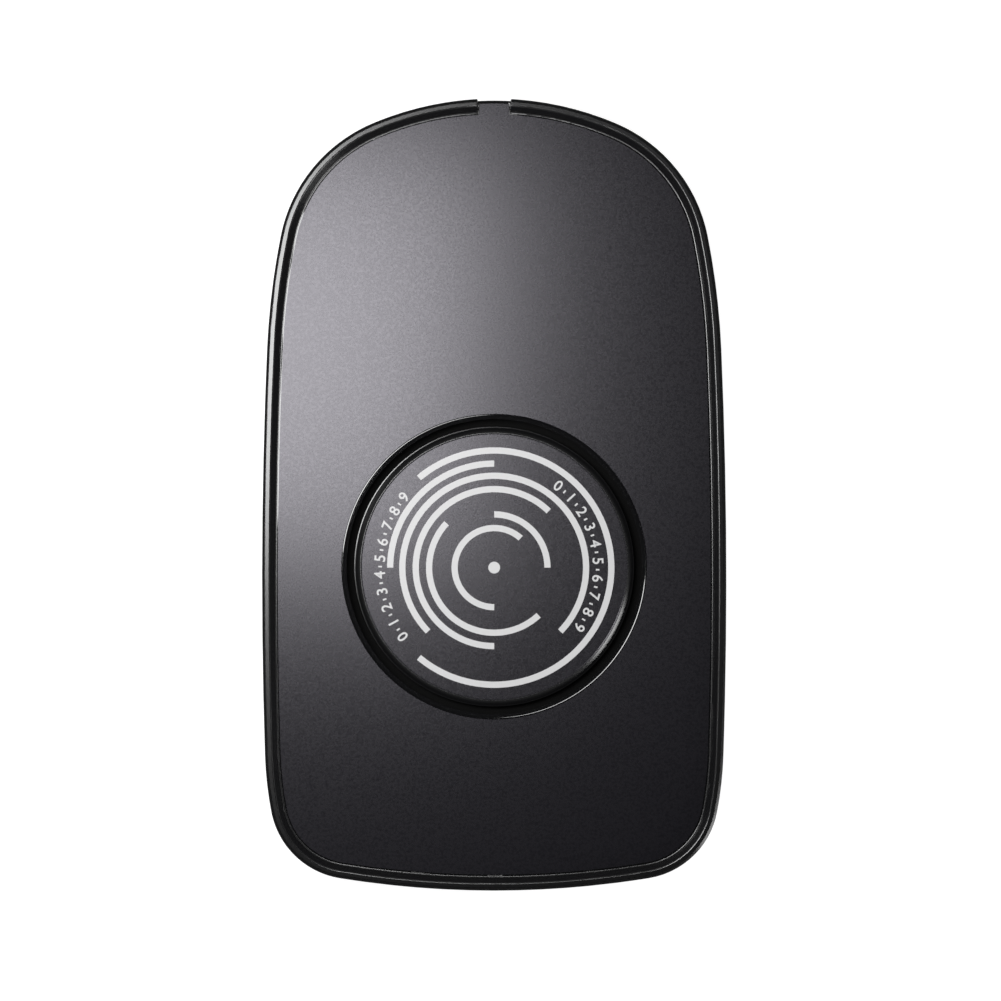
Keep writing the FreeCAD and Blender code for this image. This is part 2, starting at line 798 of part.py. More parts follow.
def make_upper_shell():
    """Side wall, web and well, with bosses for the case screws, the motor, the bush and the idler's pin."""
    wall = slab("Upper_Wall", "deck_seat", "parting_height", "rim_seam_inset", "parting_inset")

    def softened(box):
        if level(box, "deck_seat"):
            return "rim_seam_round"
        return "seam_chamfer" if level(box, "parting_height") else None

    hull = rounded("Upper_Softened", wall, "Fillet", softened)
    cavity = slab("Upper_Cavity", "parting_height", "web_bottom", "cavity_inset")
    rebate_top = "parting_height + lip_height + lip_play"
    rebate = slab("Upper_Rebate", "parting_height", rebate_top, "lip_inset - lip_play")
    opening = post("Upper_Opening", "well_radius", "web_bottom", "deck_seat", y="dial_y")
    shell = cut("Upper_Hollow", hull, cavity, rebate, opening)
    well = turned(
        "Well",
        ("bush_radius", "bush_bottom"),
        ("bush_boss_radius", "bush_bottom"),
        ("bush_boss_radius", "well_floor_bottom"),
        ("well_outer_radius", "well_floor_bottom"),
        ("well_outer_radius", "deck_seat"),
        ("well_lip_radius", "deck_seat"),
        ("well_lip_radius", "deck_top - well_lip_drop"),
        ("well_radius", "deck_top - well_lip_drop"),
        ("well_radius", "well_floor_top"),
        ("bush_radius", "well_floor_top"),
    )
    place(well, y="dial_y")
    well = rounded(
        "Well_Softened",
        well,
        "Fillet",
        lambda box: "well_lip_round" if level(box, "deck_top - well_lip_drop") else None,
    )
    socket = post("Idler_Socket", "idler_boss_radius", "socket_bottom", "well_floor_bottom", **IDLER)
    ears = posts("Motor_Boss", MOTOR_EARS, "motor_boss_radius", "cup_bottom", "web_bottom")
    bosses = posts("Upper_Boss", CASE_SCREWS, "case_boss_radius", "parting_height", "web_bottom")
    shell = fused("Upper_Solid", shell, well, socket, *ears, *bosses)
    pilots = posts("Case_Pilot", CASE_SCREWS, "case_screw_radius", f"parting_height - {PAST}", "web_bottom")
    ear_pilots = posts("Motor_Pilot", MOTOR_EARS, "small_screw_radius", f"cup_bottom - {PAST}", "web_bottom")
    pin_hole = post("Pin_Socket", "idler_pin_radius", f"socket_bottom - {PAST}", "idler_pin_top", **IDLER)
    peg_holes = posts("Peg_Hole", RIM_PEGS, "rim_peg_radius", "deck_seat - rim_peg_length", "deck_seat")
    tools = (*pilots, *ear_pilots, pin_hole, *peg_holes, sill_waste(), *wall_openings("Upper"))
    return cut("Upper_Shell", shell, *tools)


def make_lower_shell():
    """Base tray with a lip inside the seam, screw bosses, board posts and the idler pin's boss."""
    blank = slab("Lower_Blank", "parting_height", "case_bottom", "parting_inset", "base_inset")

    def softened(box):
        if level(box, "case_bottom"):
            return "base_round"
        return "seam_chamfer" if level(box, "parting_height") else None

    tray = rounded("Lower_Softened", blank, "Fillet", softened)
    cavity = slab("Lower_Cavity", "parting_height", "floor_top", "cavity_inset", "cavity_base_inset")
    lip = cut(
        "Lip",
        slab("Lip_Outside", "parting_height - lip_height", "parting_height + lip_height", "lip_inset"),
        slab("Lip_Inside", "parting_height - lip_height", "parting_height + lip_height", "cavity_inset"),
    )
    bosses = posts("Lower_Boss", CASE_SCREWS, "case_boss_radius", "case_screw_base", "parting_height")
    board_posts = posts("Board_Post", BOARD_POSTS, "board_post_radius", "floor_top", "board_bottom")
    idler_boss = post("Idler_Boss", "idler_boss_radius", "idler_boss_bottom", "idler_boss_top", **IDLER)
    shell = fused("Lower_Solid", cut("Lower_Hollow", tray, cavity), lip, *bosses, *board_posts, idler_boss)
    counterbores = posts(
        "Counterbore",
        CASE_SCREWS,
        "counterbore_radius",
        "0",
        "case_screw_base + case_screw_head_thickness",
    )
    holes = posts("Case_Hole", CASE_SCREWS, "case_screw_clearance", "0", f"parting_height + {PAST}")
    pilots = posts(
        "Board_Pilot",
        BOARD_POSTS,
        "small_screw_radius",
        "floor_top - board_pilot_depth",
        f"board_bottom + {PAST}",
    )
    pin_hole = post("Pin_Hole", "idler_pin_radius", "idler_pin_bottom", f"idler_boss_top + {PAST}", **IDLER)
    recess_length = "foot_length + 2 * foot_play"
    recess_width = "foot_width + 2 * foot_play"
    foot_recesses = [
        stadium(f"{name}_recess", x, y, "0", "foot_thickness", recess_length, recess_width)
        for name, (x, y) in FEET.items()
    ]
    plate = block(
        "Plate_Recess_Block",
        "-plate_length / 2",
        "plate_y - plate_width / 2",
        "0",
        "plate_length",
        "plate_width",
        "case_bottom + plate_depth",
    )
    plate = rounded(
        "Plate_Recess",
        plate,
        "Fillet",
        lambda box: "plate_round" if upright(box, "0", "case_bottom + plate_depth") else None,
    )
    tools = (*counterbores, *holes, *pilots, pin_hole, *foot_recesses, plate, *wall_openings("Lower"))
    return cut("Lower_Shell", shell, *tools)


def make_deck_panel():
    """The satin panel, with a round hole for the dial and a tongue that fills the rim's notch."""
    panel = slab("Deck_Blank", "deck_seat", "deck_top", "rim_foot_inset + deck_play")
    reach = slab("Tongue_Reach", "deck_seat", "deck_top", "tongue_inset")
    strip = block(
        "Tongue_Strip",
        "-tongue_width / 2",
        f"case_length / 2 - 2 * {PAST}",
        "deck_seat",
        "tongue_width",
        f"3 * {PAST}",
        "deck_thickness",
    )
    panel = fused("Deck_Solid", panel, common("Tongue", strip, reach))
    hole_radius = "well_lip_radius + deck_hole_play"
    hole = post("Deck_Hole", hole_radius, f"deck_seat - {PAST}", f"deck_top + {PAST}", y="dial_y")
    panel = cut("Deck_Cut", panel, hole)

    def softened(box):
        return "deck_chamfer" if level(box, "deck_top") else None

    return rounded("Deck_Panel", panel, "Chamfer", softened)


def make_foot(name, x, y):
    """A rubber pad with half-round ends, softened where it meets the desk."""
    pad = stadium(name + "_pad", x, y, "0", "foot_thickness", "foot_length", "foot_width")
    return rounded(name + "_soft", pad, "Fillet", lambda box: "foot_round" if level(box, "0") else None)


def screw(name, radius, head_radius, head_thickness, grip, x, y, z, upward):
    """A cross-recessed pan-head screw. Its head's outer face is at z, and its shank points up or down."""
    body = turned(
        name + "_Body",
        ("0", "0"),
        (head_radius, "0"),
        (head_radius, head_thickness),
        (radius, head_thickness),
        (radius, f"({head_thickness}) + ({grip})"),
        ("0", f"({head_thickness}) + ({grip})"),
    )
    arm = f"recess_reach * ({head_radius})"
    half = "-recess_width / 2"
    along = block(name + "_Along", f"-({arm})", half, "0", f"2 * {arm}", "recess_width", "recess_depth")
    across = block(name + "_Across", half, f"-({arm})", "0", "recess_width", f"2 * {arm}", "recess_depth")
    result = cut(name, body, along, across)
    if not upward:
        result.Placement.Rotation = Rotation(Vector(1, 0, 0), 180)
    return place(result, x, y, z)


def small_screws(name, places, z, upward):
    """Small screws of one size at several places."""
    return [
        screw(
            f"{name}_{i}",
            "small_screw_radius",
            "small_screw_head_radius",
            "small_screw_head_thickness",
            "small_screw_grip",
            x,
            y,
            z,
            upward,
        )
        for i, (x, y) in enumerate(places, 1)
    ]


def make_case_screws():
    """Four screws up through the lower shell's bosses into the upper shell's."""
    return [
        screw(
            f"Case_Screw_{i}",
            "case_screw_radius",
            "case_screw_head_radius",
            "case_screw_head_thickness",
            "case_screw_grip",
            x,
            y,
            "case_screw_base",
            True,
        )
        for i, (x, y) in enumerate(CASE_SCREWS, 1)
    ]


keep("rim_ring", make_rim_ring())
keep("upper_shell", make_upper_shell())
keep("lower_shell", make_lower_shell())
keep("deck_panel", make_deck_panel())
for foot_name, (foot_x, foot_y) in FEET.items():
    keep(foot_name, make_foot(foot_name, foot_x, foot_y))
keep("case_screws", group("Case_Screws", *make_case_screws()))

# ---------------------------------------------------------------- gears

# Points up one side of a tooth, set closer together towards the base circle by the power of their number.
FLANK_STEPS = 6
FLANK_POWER = 1.5


def involute_profile(teeth, phase):
    """The closed outline of an involute spur gear with one tooth centred on the phase angle, in degrees."""
    module = size("gear_module")
    pressure = math.radians(size("pressure_angle"))
    pitch = module * teeth / 2
    base = pitch * math.cos(pressure)
    tip = pitch + module
    root = pitch - size("dedendum") * module
    pitch_half_angle = (math.pi * module / 2 - size("backlash") / 2) / (2 * pitch)

    def half_angle(radius):
        """Half the tooth's angle at a radius."""
        slope = math.acos(min(1.0, base / radius))
        return pitch_half_angle + math.tan(pressure) - pressure - math.tan(slope) + slope

    def point(radius, angle):
        return Vector(radius * math.cos(angle), radius * math.sin(angle), 0)

    start = max(base, root)
    radii = [start + (tip - start) * (i / FLANK_STEPS) ** FLANK_POWER for i in range(FLANK_STEPS + 1)]
    edges = []
    pitch_angle = 2 * math.pi / teeth
    for tooth in range(int(teeth)):
        middle = math.radians(phase) + tooth * pitch_angle
        rising = [point(r, middle - half_angle(r)) for r in radii]
        falling = [point(r, middle + half_angle(r)) for r in reversed(radii)]
        foot = half_angle(start)
        low, high = point(root, middle - foot), point(root, middle + foot)
        if start > root + TOUCH:
            edges.append(Part.makeLine(low, rising[0]))
        edges.append(flank(rising))
        edges.append(Part.Arc(rising[-1], point(tip, middle), falling[0]).toShape())
        edges.append(flank(falling))
        if start > root + TOUCH:
            edges.append(Part.makeLine(falling[-1], high))
        gap = point(root, middle + pitch_angle / 2)
        edges.append(Part.Arc(high, gap, point(root, middle + pitch_angle - foot)).toShape())
    return Part.Wire(edges)


def flank(points):
    """One smooth side of a tooth."""
    curve = Part.BSplineCurve()
    curve.interpolate(points)
    return curve.toShape()


def gear_blank(name, teeth, width, phase):
    """A toothed disc, whose sizes are read from the sheet."""
    feature = doc.addObject("Part::Feature", name)
    profile = involute_profile(size(teeth), phase)
    feature.Shape = Part.Face(profile).extrude(Vector(0, 0, size(width)))
    return feature


def make_turntable_gear():
    """A webbed spur gear with six lightening holes and a flatted bore for the spindle."""
    blank = gear_blank("Table_Gear_Blank", "table_teeth", "table_gear_width", size("train_angle"))
    blank.Placement.Base = Vector(0, size("dial_y"), size("table_gear_bottom"))
    inner, outer = "table_gear_hub_radius", "table_gear_rim_radius"
    recesses = [
        sleeve(f"Table_Gear_Recess_{side}", inner, outer, bottom, top, y="dial_y")
        for side, bottom, top in (
            ("Low", "table_gear_bottom", "table_gear_bottom + table_gear_recess"),
            ("High", "table_gear_top - table_gear_recess", "table_gear_top"),
        )
    ]
    holes = [
        post(
            f"Table_Gear_Hole_{i}",
            "table_gear_hole_radius",
            "table_gear_bottom",
            "table_gear_top",
            f"table_gear_hole_circle * cos({i} * 360 deg / table_gear_holes)",
            f"dial_y + table_gear_hole_circle * sin({i} * 360 deg / table_gear_holes)",
        )
        for i in range(int(size("table_gear_holes")))
    ]
    bore = flatted_bar("Table_Gear_Bore", "table_gear_bottom", "table_gear_top")
    return cut("Turntable_Gear", blank, *recesses, *holes, bore)


def flatted_bar(name, bottom, top):
    """A bar of the spindle's radius with one flat side, between two heights on the dial's axis."""
    bar = post(name + "_Round", "spindle_radius", bottom, top, y="dial_y")
    side = block(
        name + "_Side",
        "spindle_flat",
        "dial_y - spindle_radius",
        bottom,
        "spindle_radius",
        "2 * spindle_radius",
        f"({top}) - ({bottom})",
    )
    return cut(name, bar, side)


def make_idler_gear():
    """A compound gear: the wheel that the motor drives, and the pinion that drives the turntable."""
    wheel = gear_blank("Idler_Wheel", "idler_wheel_teeth", "idler_wheel_width", size("train_angle"))
    wheel.Placement.Base = Vector(size("idler_x"), size("idler_y"), size("idler_wheel_bottom"))
    facing = size("train_angle + 180 + 180 / idler_pinion_teeth")
    pinion = gear_blank("Idler_Pinion", "idler_pinion_teeth", "idler_top - idler_wheel_bottom", facing)
    pinion.Placement.Base = wheel.Placement.Base
    bore = post("Idler_Bore", "idler_pin_radius + running_play", "idler_wheel_bottom", "idler_top", **IDLER)
    return cut("Idler_Gear", fused("Idler_Solid", wheel, pinion), bore)


def make_motor_pinion():
    """The small gear pressed on the motor's shaft."""
    facing = size("train_angle + 180 + 180 / motor_pinion_teeth")
    blank = gear_blank("Motor_Pinion_Blank", "motor_pinion_teeth", "motor_pinion_width", facing)
    blank.Placement.Base = Vector(size("motor_x"), size("motor_y"), size("motor_pinion_bottom"))
    bore = post(
        "Motor_Pinion_Bore",
        "motor_shaft_radius",
        "motor_pinion_bottom",
        "motor_pinion_bottom + motor_pinion_width",
        **MOTOR,
    )
    return cut("Motor_Pinion", blank, bore)


keep("turntable_gear", make_turntable_gear())
keep("idler_gear", make_idler_gear())
keep("motor_pinion", make_motor_pinion())
keep("idler_pin", post("Idler_Pin", "idler_pin_radius", "idler_pin_bottom", "idler_pin_top", **IDLER))

# ---------------------------------------------------------------- turntable


def make_dial_plate():
    """The disc that the mouse's sensor looks at, with a bevelled edge."""
    plate = turned(
        "Dial_Plate",
        ("0", "dial_bottom"),
        ("dial_radius", "dial_bottom"),
        ("dial_radius", "dial_top - dial_bevel_drop"),
        ("dial_radius - dial_bevel", "dial_top"),
        ("0", "dial_top"),
    )
    return place(plate, y="dial_y")


def make_dial_carrier():
    """The disc under the plate, with a narrow raised land, a bevel and a thin ledge round it."""
    carrier = turned(
        "Dial_Carrier",
        ("spindle_radius", "carrier_bottom"),
        ("carrier_radius", "carrier_bottom"),
        ("carrier_radius", "dial_top - carrier_bevel_drop - carrier_ledge_drop"),
        ("carrier_radius - carrier_ledge", "dial_top - carrier_bevel_drop"),
        ("dial_radius + carrier_land", "dial_top - dial_bevel_drop"),
        ("dial_radius", "dial_top - dial_bevel_drop"),
        ("dial_radius", "dial_bottom"),
        ("spindle_radius", "dial_bottom"),
    )
    return place(carrier, y="dial_y")


def make_spindle():
    """The turntable's shaft: flatted where the gear sits, with a threaded hole up its lower end."""
    round_part = post("Spindle_Round", "spindle_radius", "table_gear_top", "dial_bottom", y="dial_y")
    flatted = flatted_bar("Spindle_Flatted", "spindle_bottom", "table_gear_top")
    hole = post(
        "Spindle_Hole",
        "small_screw_radius",
        "spindle_bottom",
        "spindle_bottom + small_screw_grip + spindle_hole_spare",
        y="dial_y",
    )
    return cut("Spindle", fused("Spindle_Solid", round_part, flatted), hole)


def make_turntable_bush():
    """The flanged bush that the spindle runs in, pressed into the well's floor."""
    bush = turned(
        "Turntable_Bush",
        ("spindle_radius + running_play", "bush_bottom"),
        ("bush_radius", "bush_bottom"),
        ("bush_radius", "well_floor_top"),
        ("bush_flange_radius", "well_floor_top"),
        ("bush_flange_radius", "well_floor_top + bush_flange_thickness"),
        ("spindle_radius + running_play", "well_floor_top + bush_flange_thickness"),
    )
    return place(bush, y="dial_y")


def make_dust_felt():
    """The black felt ring that lies in the well under the carrier's edge."""
    top = "well_floor_top + felt_thickness"
    return sleeve("Dust_Felt", "felt_inner_radius", "well_radius", "well_floor_top", top, y="dial_y")


washer_bottom = "spindle_bottom - washer_thickness"
washer = sleeve("Retaining_Washer", "small_screw_clearance", "washer_radius", washer_bottom, "spindle_bottom")
retaining_screw_base = f"{washer_bottom} - small_screw_head_thickness"
keep("dial_plate", make_dial_plate())
keep("dial_carrier", make_dial_carrier())
keep("spindle", make_spindle())
keep("turntable_bush", make_turntable_bush())
keep("dust_felt", make_dust_felt())
keep("retaining_washer", bind(washer, Placement__Base__y="dial_y"))
keep("retaining_screw", *small_screws("Retaining_Screw", [("0", "dial_y")], retaining_screw_base, True))

# ---------------------------------------------------------------- motor

def make_motor_flange():
    """The motor's mounting plate, with an ear at each side."""
    disc = post("Flange_Disc", "motor_radius", "motor_flange_bottom", "cup_bottom", **MOTOR)
    strap = stadium(
        "Flange_Strap",
        "motor_x",
        "motor_y",
        "motor_flange_bottom",
        "cup_bottom",
        "2 * (motor_ear_reach + motor_ear_radius)",
        "2 * motor_ear_radius",
    )
    centre = post("Flange_Centre", "motor_bearing_radius", "motor_flange_bottom", "cup_bottom", **MOTOR)
    holes = posts("Flange_Hole", MOTOR_EARS, "small_screw_clearance", "motor_flange_bottom", "cup_bottom")
    return cut("Motor_Flange", fused("Flange_Solid", disc, strap), centre, *holes)


def make_motor_cup(name, closed, opened):
    """One of the motor's two cups: an end plate at the closed height, and a wall to the opened one."""
    inward = "motor_cup_wall" if size(opened) > size(closed) else "-motor_cup_wall"
    cup = turned(
        name,
        ("motor_bearing_radius", closed),
        ("motor_radius", closed),
        ("motor_radius", opened),
        ("motor_radius - motor_cup_wall", opened),
        ("motor_radius - motor_cup_wall", f"({closed}) + ({inward})"),
        ("motor_bearing_radius", f"({closed}) + ({inward})"),
    )
    return place(cup, **MOTOR)


def make_motor_poles():
    """The stator's pole sleeve, with the plate between the coils."""
    inner, outer = "motor_pole_radius", "motor_pole_radius + motor_pole_thickness"
    poles = turned(
        "Motor_Poles",
        (inner, "cup_bottom + motor_cup_wall"),
        (outer, "cup_bottom + motor_cup_wall"),
        (outer, "cup_middle - motor_cup_wall / 2"),
        ("motor_radius - motor_cup_wall", "cup_middle - motor_cup_wall / 2"),
        ("motor_radius - motor_cup_wall", "cup_middle + motor_cup_wall / 2"),
        (outer, "cup_middle + motor_cup_wall / 2"),
        (outer, "web_bottom - motor_cup_wall"),
        (inner, "web_bottom - motor_cup_wall"),
    )
    return place(poles, **MOTOR)


def make_motor_leads():
    """The motor's four leads, from its terminal to the header on the board."""
    return [
        rod(
            f"Motor_Lead_{i}",
            "lead_radius",
            "terminal_x - header_x - header_depth",
            "header_x + header_depth",
            f"lead_y + {i} * lead_pitch",
            "lead_height",
            Vector(1, 0, 0),
        )
        for i in range(int(size("lead_count")))
    ]


def make_motor_terminal():
    """The block on the motor's side that the leads come out of."""
    blank = block(
        "Terminal_Block",
        "terminal_x",
        "lead_y - lead_pitch / 2",
        "lead_height - terminal_height / 2",
        "motor_x - terminal_x",
        "lead_count * lead_pitch",
        "terminal_height",
    )
    can = post("Terminal_Can", "motor_radius", "cup_bottom", "web_bottom", **MOTOR)
    return cut("Motor_Terminal", blank, can)


coil_inner = "motor_pole_radius + motor_pole_thickness + motor_coil_gap"
coil_gap = "motor_cup_wall + motor_coil_gap"
shaft_top = "web_bottom - motor_shaft_end_gap"
motor_screw_base = "motor_flange_bottom - small_screw_head_thickness"
bearing_bore = "motor_shaft_radius + running_play"
keep("motor_flange", make_motor_flange())
keep("motor_lower_cup", make_motor_cup("Motor_Lower_Cup", "cup_bottom", "cup_middle"))
keep("motor_upper_cup", make_motor_cup("Motor_Upper_Cup", "web_bottom", "cup_middle"))
keep("motor_poles", make_motor_poles())
for coil_name, coil_bottom, coil_top in (
    ("motor_lower_coil", f"cup_bottom + {coil_gap}", "cup_middle - motor_cup_wall / 2"),
    ("motor_upper_coil", "cup_middle + motor_cup_wall / 2", f"web_bottom - ({coil_gap})"),
):
    keep(coil_name, sleeve(coil_name, coil_inner, "motor_coil_radius", coil_bottom, coil_top, **MOTOR))
for bearing_name, bearing_bottom, bearing_top in (
    ("motor_lower_bearing", "motor_flange_bottom", "motor_flange_bottom + motor_bearing_length"),
    ("motor_upper_bearing", "web_bottom - motor_bearing_length", "web_bottom"),
):
    bearing = sleeve(bearing_name, bearing_bore, "motor_bearing_radius", bearing_bottom, bearing_top, **MOTOR)
    keep(bearing_name, bearing)
keep("motor_shaft", post("Motor_Shaft", "motor_shaft_radius", "motor_shaft_bottom", shaft_top, **MOTOR))
keep(
    "motor_magnet",
    sleeve(
        "Motor_Magnet",
        "motor_shaft_radius",
        "motor_magnet_radius",
        "motor_flange_bottom + motor_bearing_length + motor_magnet_play",
        "web_bottom - motor_bearing_length - motor_magnet_play",
        **MOTOR,
    ),
)
keep("motor_screws", group("Motor_Screws", *small_screws("Motor_Screw", MOTOR_EARS, motor_screw_base, True)))
keep("motor_leads", group("Motor_Leads", *make_motor_leads()))
keep("motor_terminal", make_motor_terminal())

# ---------------------------------------------------------------- electronics


def make_circuit_board():
    """An L-shaped board that follows the case outline round the motor, with holes for its screws."""
    left = block(
        "Board_Left",
        "board_step_x - board_left_width",
        "board_rear_y",
        "board_bottom",
        "board_left_width",
        "board_front_y - board_rear_y",
        "board_thickness",
    )
    front = block(
        "Board_Front",
        "board_step_x",
        "board_step_y",
        "board_bottom",
        "board_right_x - board_step_x",
        "board_front_y - board_step_y",
        "board_thickness",
    )
    shape = slab("Board_Shape", "board_bottom", "board_top", "board_inset")
    board = common("Board_Blank", fused("Board_Solid", left, front), shape)
    boss_space = "case_boss_radius + board_gap"
    clearances = posts("Board_Clearance", CASE_SCREWS[:2], boss_space, "board_bottom", "board_top")
    holes = posts("Board_Hole", BOARD_POSTS, "small_screw_clearance", "board_bottom", "board_top")
    return cut("Circuit_Board", board, *clearances, *holes)


def keep_on_board(label, x, y, length, width, height):
    """Names a sub-part that is a block standing on the circuit board."""
    return keep(label, block(label, x, y, "board_top", length, width, height))


def make_usb_inlet():
    """The receptacle's drawn steel shell, closed at its back."""
    bar = inlet_bar("Inlet_Outside", "inlet_back_y", "inlet_width", "inlet_height", "inlet_length")
    hollow = inlet_bar(
        "Inlet_Inside",
        "inlet_back_y + inlet_back",
        "inlet_width - 2 * inlet_wall",
        "inlet_height - 2 * inlet_wall",
        "inlet_length",
    )
    return cut("Usb_Inlet", bar, hollow)


def make_light_pipe():
    """A clear rod from the lamp to the front wall, trimmed flush with the wall's face."""
    face = slab("Pipe_Face", "inlet_middle - pipe_radius", "inlet_middle + pipe_radius", "parting_inset")
    return common("Light_Pipe", pipe_bar("Pipe_Bar"), face)


def make_switch_case():
    """The slide switch's body, with a window for its stem."""
    body = block(
        "Switch_Body",
        "switch_case_x",
        "switch_y - switch_case_length / 2",
        "board_top",
        "switch_case_depth",
        "switch_case_length",
        "switch_case_height",
    )
    width = "switch_stem_width + switch_travel + 2 * switch_stem_play"
    height = "switch_stem_width + 2 * switch_stem_play"
    window = block(
        "Switch_Window",
        "switch_case_x",
        f"switch_y - ({width}) / 2",
        f"parting_height - ({height}) / 2",
        "switch_window_depth",
        width,
        height,
    )
    return cut("Switch_Case", body, window)


def make_switch_knob():
    """The knob in its slot, with grip grooves outside and a stem into the switch, drawn at its rear end."""
    outer_x = "-switch_wall_x - knob_proud"
    middle_y = "switch_y - switch_travel / 2"
    cap = block(
        "Knob_Cap",
        outer_x,
        f"{middle_y} - knob_length / 2",
        "parting_height - knob_height / 2",
        "knob_depth",
        "knob_length",
        "knob_height",
    )
    stem_x = f"{outer_x} + knob_depth"
    stem = block(
        "Knob_Stem",
        stem_x,
        f"{middle_y} - switch_stem_width / 2",
        "parting_height - switch_stem_width / 2",
        f"switch_case_x + switch_window_depth - switch_stem_play - ({stem_x})",
        "switch_stem_width",
        "switch_stem_width",
    )
    pitch = "knob_length / (knob_grooves + 1)"
    grooves = [
        block(
            f"Knob_Groove_{i}",
            outer_x,
            f"{middle_y} - knob_length / 2 + {i} * {pitch} - knob_groove / 2",
            "parting_height - knob_height / 2",
            "knob_groove",
            "knob_groove",
            "knob_height",
        )
        for i in range(1, int(size("knob_grooves")) + 1)
    ]
    return cut("Switch_Knob", fused("Knob_Solid", cap, stem), *grooves)


board_screw_head = "board_top + small_screw_head_thickness"
keep("circuit_board", make_circuit_board())
board_screws = small_screws("Board_Screw", BOARD_POSTS, board_screw_head, False)
keep("board_screws", group("Board_Screws", *board_screws))
CONTROLLER = ("controller_x", "controller_y", "controller_size", "controller_size")
keep_on_board("controller_chip", *CONTROLLER, "chip_height")
keep_on_board("driver_chip", "driver_x", "driver_y", "driver_length", "driver_width", "chip_height")
keep_on_board("wire_header", "header_x", "header_y", "header_depth", "header_length", "header_height")
lamp_x = "pipe_x - lamp_width / 2"
keep_on_board("indicator_lamp", lamp_x, "lamp_y", "lamp_width", "lamp_depth", "lamp_height")
keep("light_pipe", make_light_pipe())
keep("usb_inlet", make_usb_inlet())
keep(
    "usb_inlet_tongue",
    block(
        "Usb_Inlet_Tongue",
        "-inlet_tongue_width / 2",
        "inlet_back_y + inlet_back",
        "inlet_middle - inlet_tongue_height / 2",
        "inlet_tongue_width",
        "inlet_length - inlet_back - inlet_tongue_recess",
        "inlet_tongue_height",
    ),
)
keep("switch_case", make_switch_case())
keep("switch_knob", make_switch_knob())

# ---------------------------------------------------------------- checks and files

doc.recompute()
for thing in doc.Objects:
    if "Invalid" in thing.State or "Error" in thing.State:
        raise RuntimeError(f"{thing.Name} did not recompute: {thing.State}")
for thing in subparts:
    if thing.Shape.isNull() or not thing.Shape.isValid() or thing.Shape.Volume <= 0:
        raise RuntimeError(f"{thing.Label} is not a valid solid")
os.makedirs("parts", exist_ok=True)
for thing in subparts:
    thing.Shape.exportStep(f"parts/{thing.Label}.step")
    box = thing.Shape.BoundBox
    heights = f"z {box.ZMin:.2f} to {box.ZMax:.2f}"
    print(f"{thing.Label}: {len(thing.Shape.Solids)} solid(s), {thing.Shape.Volume:.1f} mm3, {heights}")
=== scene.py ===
"""The looks of a desk-top mouse jiggler: dial print, fittings, trim, finishes and a stage.

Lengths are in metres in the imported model's own frame: +Z up, +Y to the front (the cord notch), +X to the
right, origin on the desk under the middle of the case.
"""

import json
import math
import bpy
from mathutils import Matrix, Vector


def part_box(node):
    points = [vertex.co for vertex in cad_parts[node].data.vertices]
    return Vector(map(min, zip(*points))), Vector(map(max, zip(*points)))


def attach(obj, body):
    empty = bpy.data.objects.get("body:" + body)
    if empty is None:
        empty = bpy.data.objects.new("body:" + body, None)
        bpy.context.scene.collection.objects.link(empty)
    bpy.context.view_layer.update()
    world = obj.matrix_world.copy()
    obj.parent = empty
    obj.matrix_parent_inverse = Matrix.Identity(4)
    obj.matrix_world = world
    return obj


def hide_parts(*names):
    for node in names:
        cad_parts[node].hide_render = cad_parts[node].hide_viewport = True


bl_info = {
    "name": "Mouse Jiggler Looks",
    "version": (1, 0, 0),
    "blender": (4, 5, 0),
    "location": "3D View > Sidebar > Jiggler",
    "description": "Dial print, fittings, trim, finishes and a stage for a desk-top mouse jiggler",
    "category": "Object",
}

import bpy
from bpy.props import FloatProperty, FloatVectorProperty, IntProperty, PointerProperty
from bpy.types import Operator, Panel, PropertyGroup
from mathutils import Vector

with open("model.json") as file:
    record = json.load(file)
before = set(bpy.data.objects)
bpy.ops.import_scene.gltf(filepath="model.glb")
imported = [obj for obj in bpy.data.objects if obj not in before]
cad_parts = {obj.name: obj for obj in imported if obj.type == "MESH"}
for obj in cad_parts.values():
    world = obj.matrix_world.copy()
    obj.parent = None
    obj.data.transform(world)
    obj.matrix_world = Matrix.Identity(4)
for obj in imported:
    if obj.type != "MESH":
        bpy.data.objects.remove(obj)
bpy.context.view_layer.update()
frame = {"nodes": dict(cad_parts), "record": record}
NODES = frame["nodes"]

MM = 0.001

# Points nearer to each other than this count as one.
WELD = 1e-7

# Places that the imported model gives.
DIAL_LOW, DIAL_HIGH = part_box("dial_plate")
DIAL_CENTRE = (DIAL_LOW + DIAL_HIGH) / 2
DIAL_TOP = DIAL_HIGH.z
DECK_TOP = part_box("deck_panel")[1].z

# Each printed arc: its radius in millimetres, the angle it starts at and how far it runs, in degrees.
# Angles run anticlockwise from +X.
DIAL_ARCS = (
    (19.25, -130.0, 260.0),
    (17.1, 90.0, 90.0),
    (15.1, -44.0, 268.0),
    (12.9, 46.0, 224.0),
    (10.7, 137.0, 176.0),
    (8.75, 0.0, 90.0),
    (6.5, 48.0, 222.0),
)

# How finely round shapes are cut: steps in a whole turn, sides of a section, steps in a figure's curve.
ARC_STEPS = 180
RING_STEPS = 240
DOT_SIDES = 48
BEAD_SIDES = 16
FIGURE_STEPS = 6

# The height of a figure as a share of its font's size.
FIGURE_SHARE = 0.7

# Faces that meet at up to these angles are shaded smooth.
SMOOTH = math.radians(35)
RING_SMOOTH = math.radians(50)

# Edges sharper than this are rounded, and faces that meet flatter than this are made one first.
SHARP = math.radians(40)
FLAT = math.radians(1)

# The upward part of the normal of a chamfer's face, and a radius between the two chamfers of the deck.
CHAMFER_LEAST, CHAMFER_MOST = 0.5, 0.9
BETWEEN_CHAMFERS = 26 * MM


# ---------------------------------------------------------------- settings


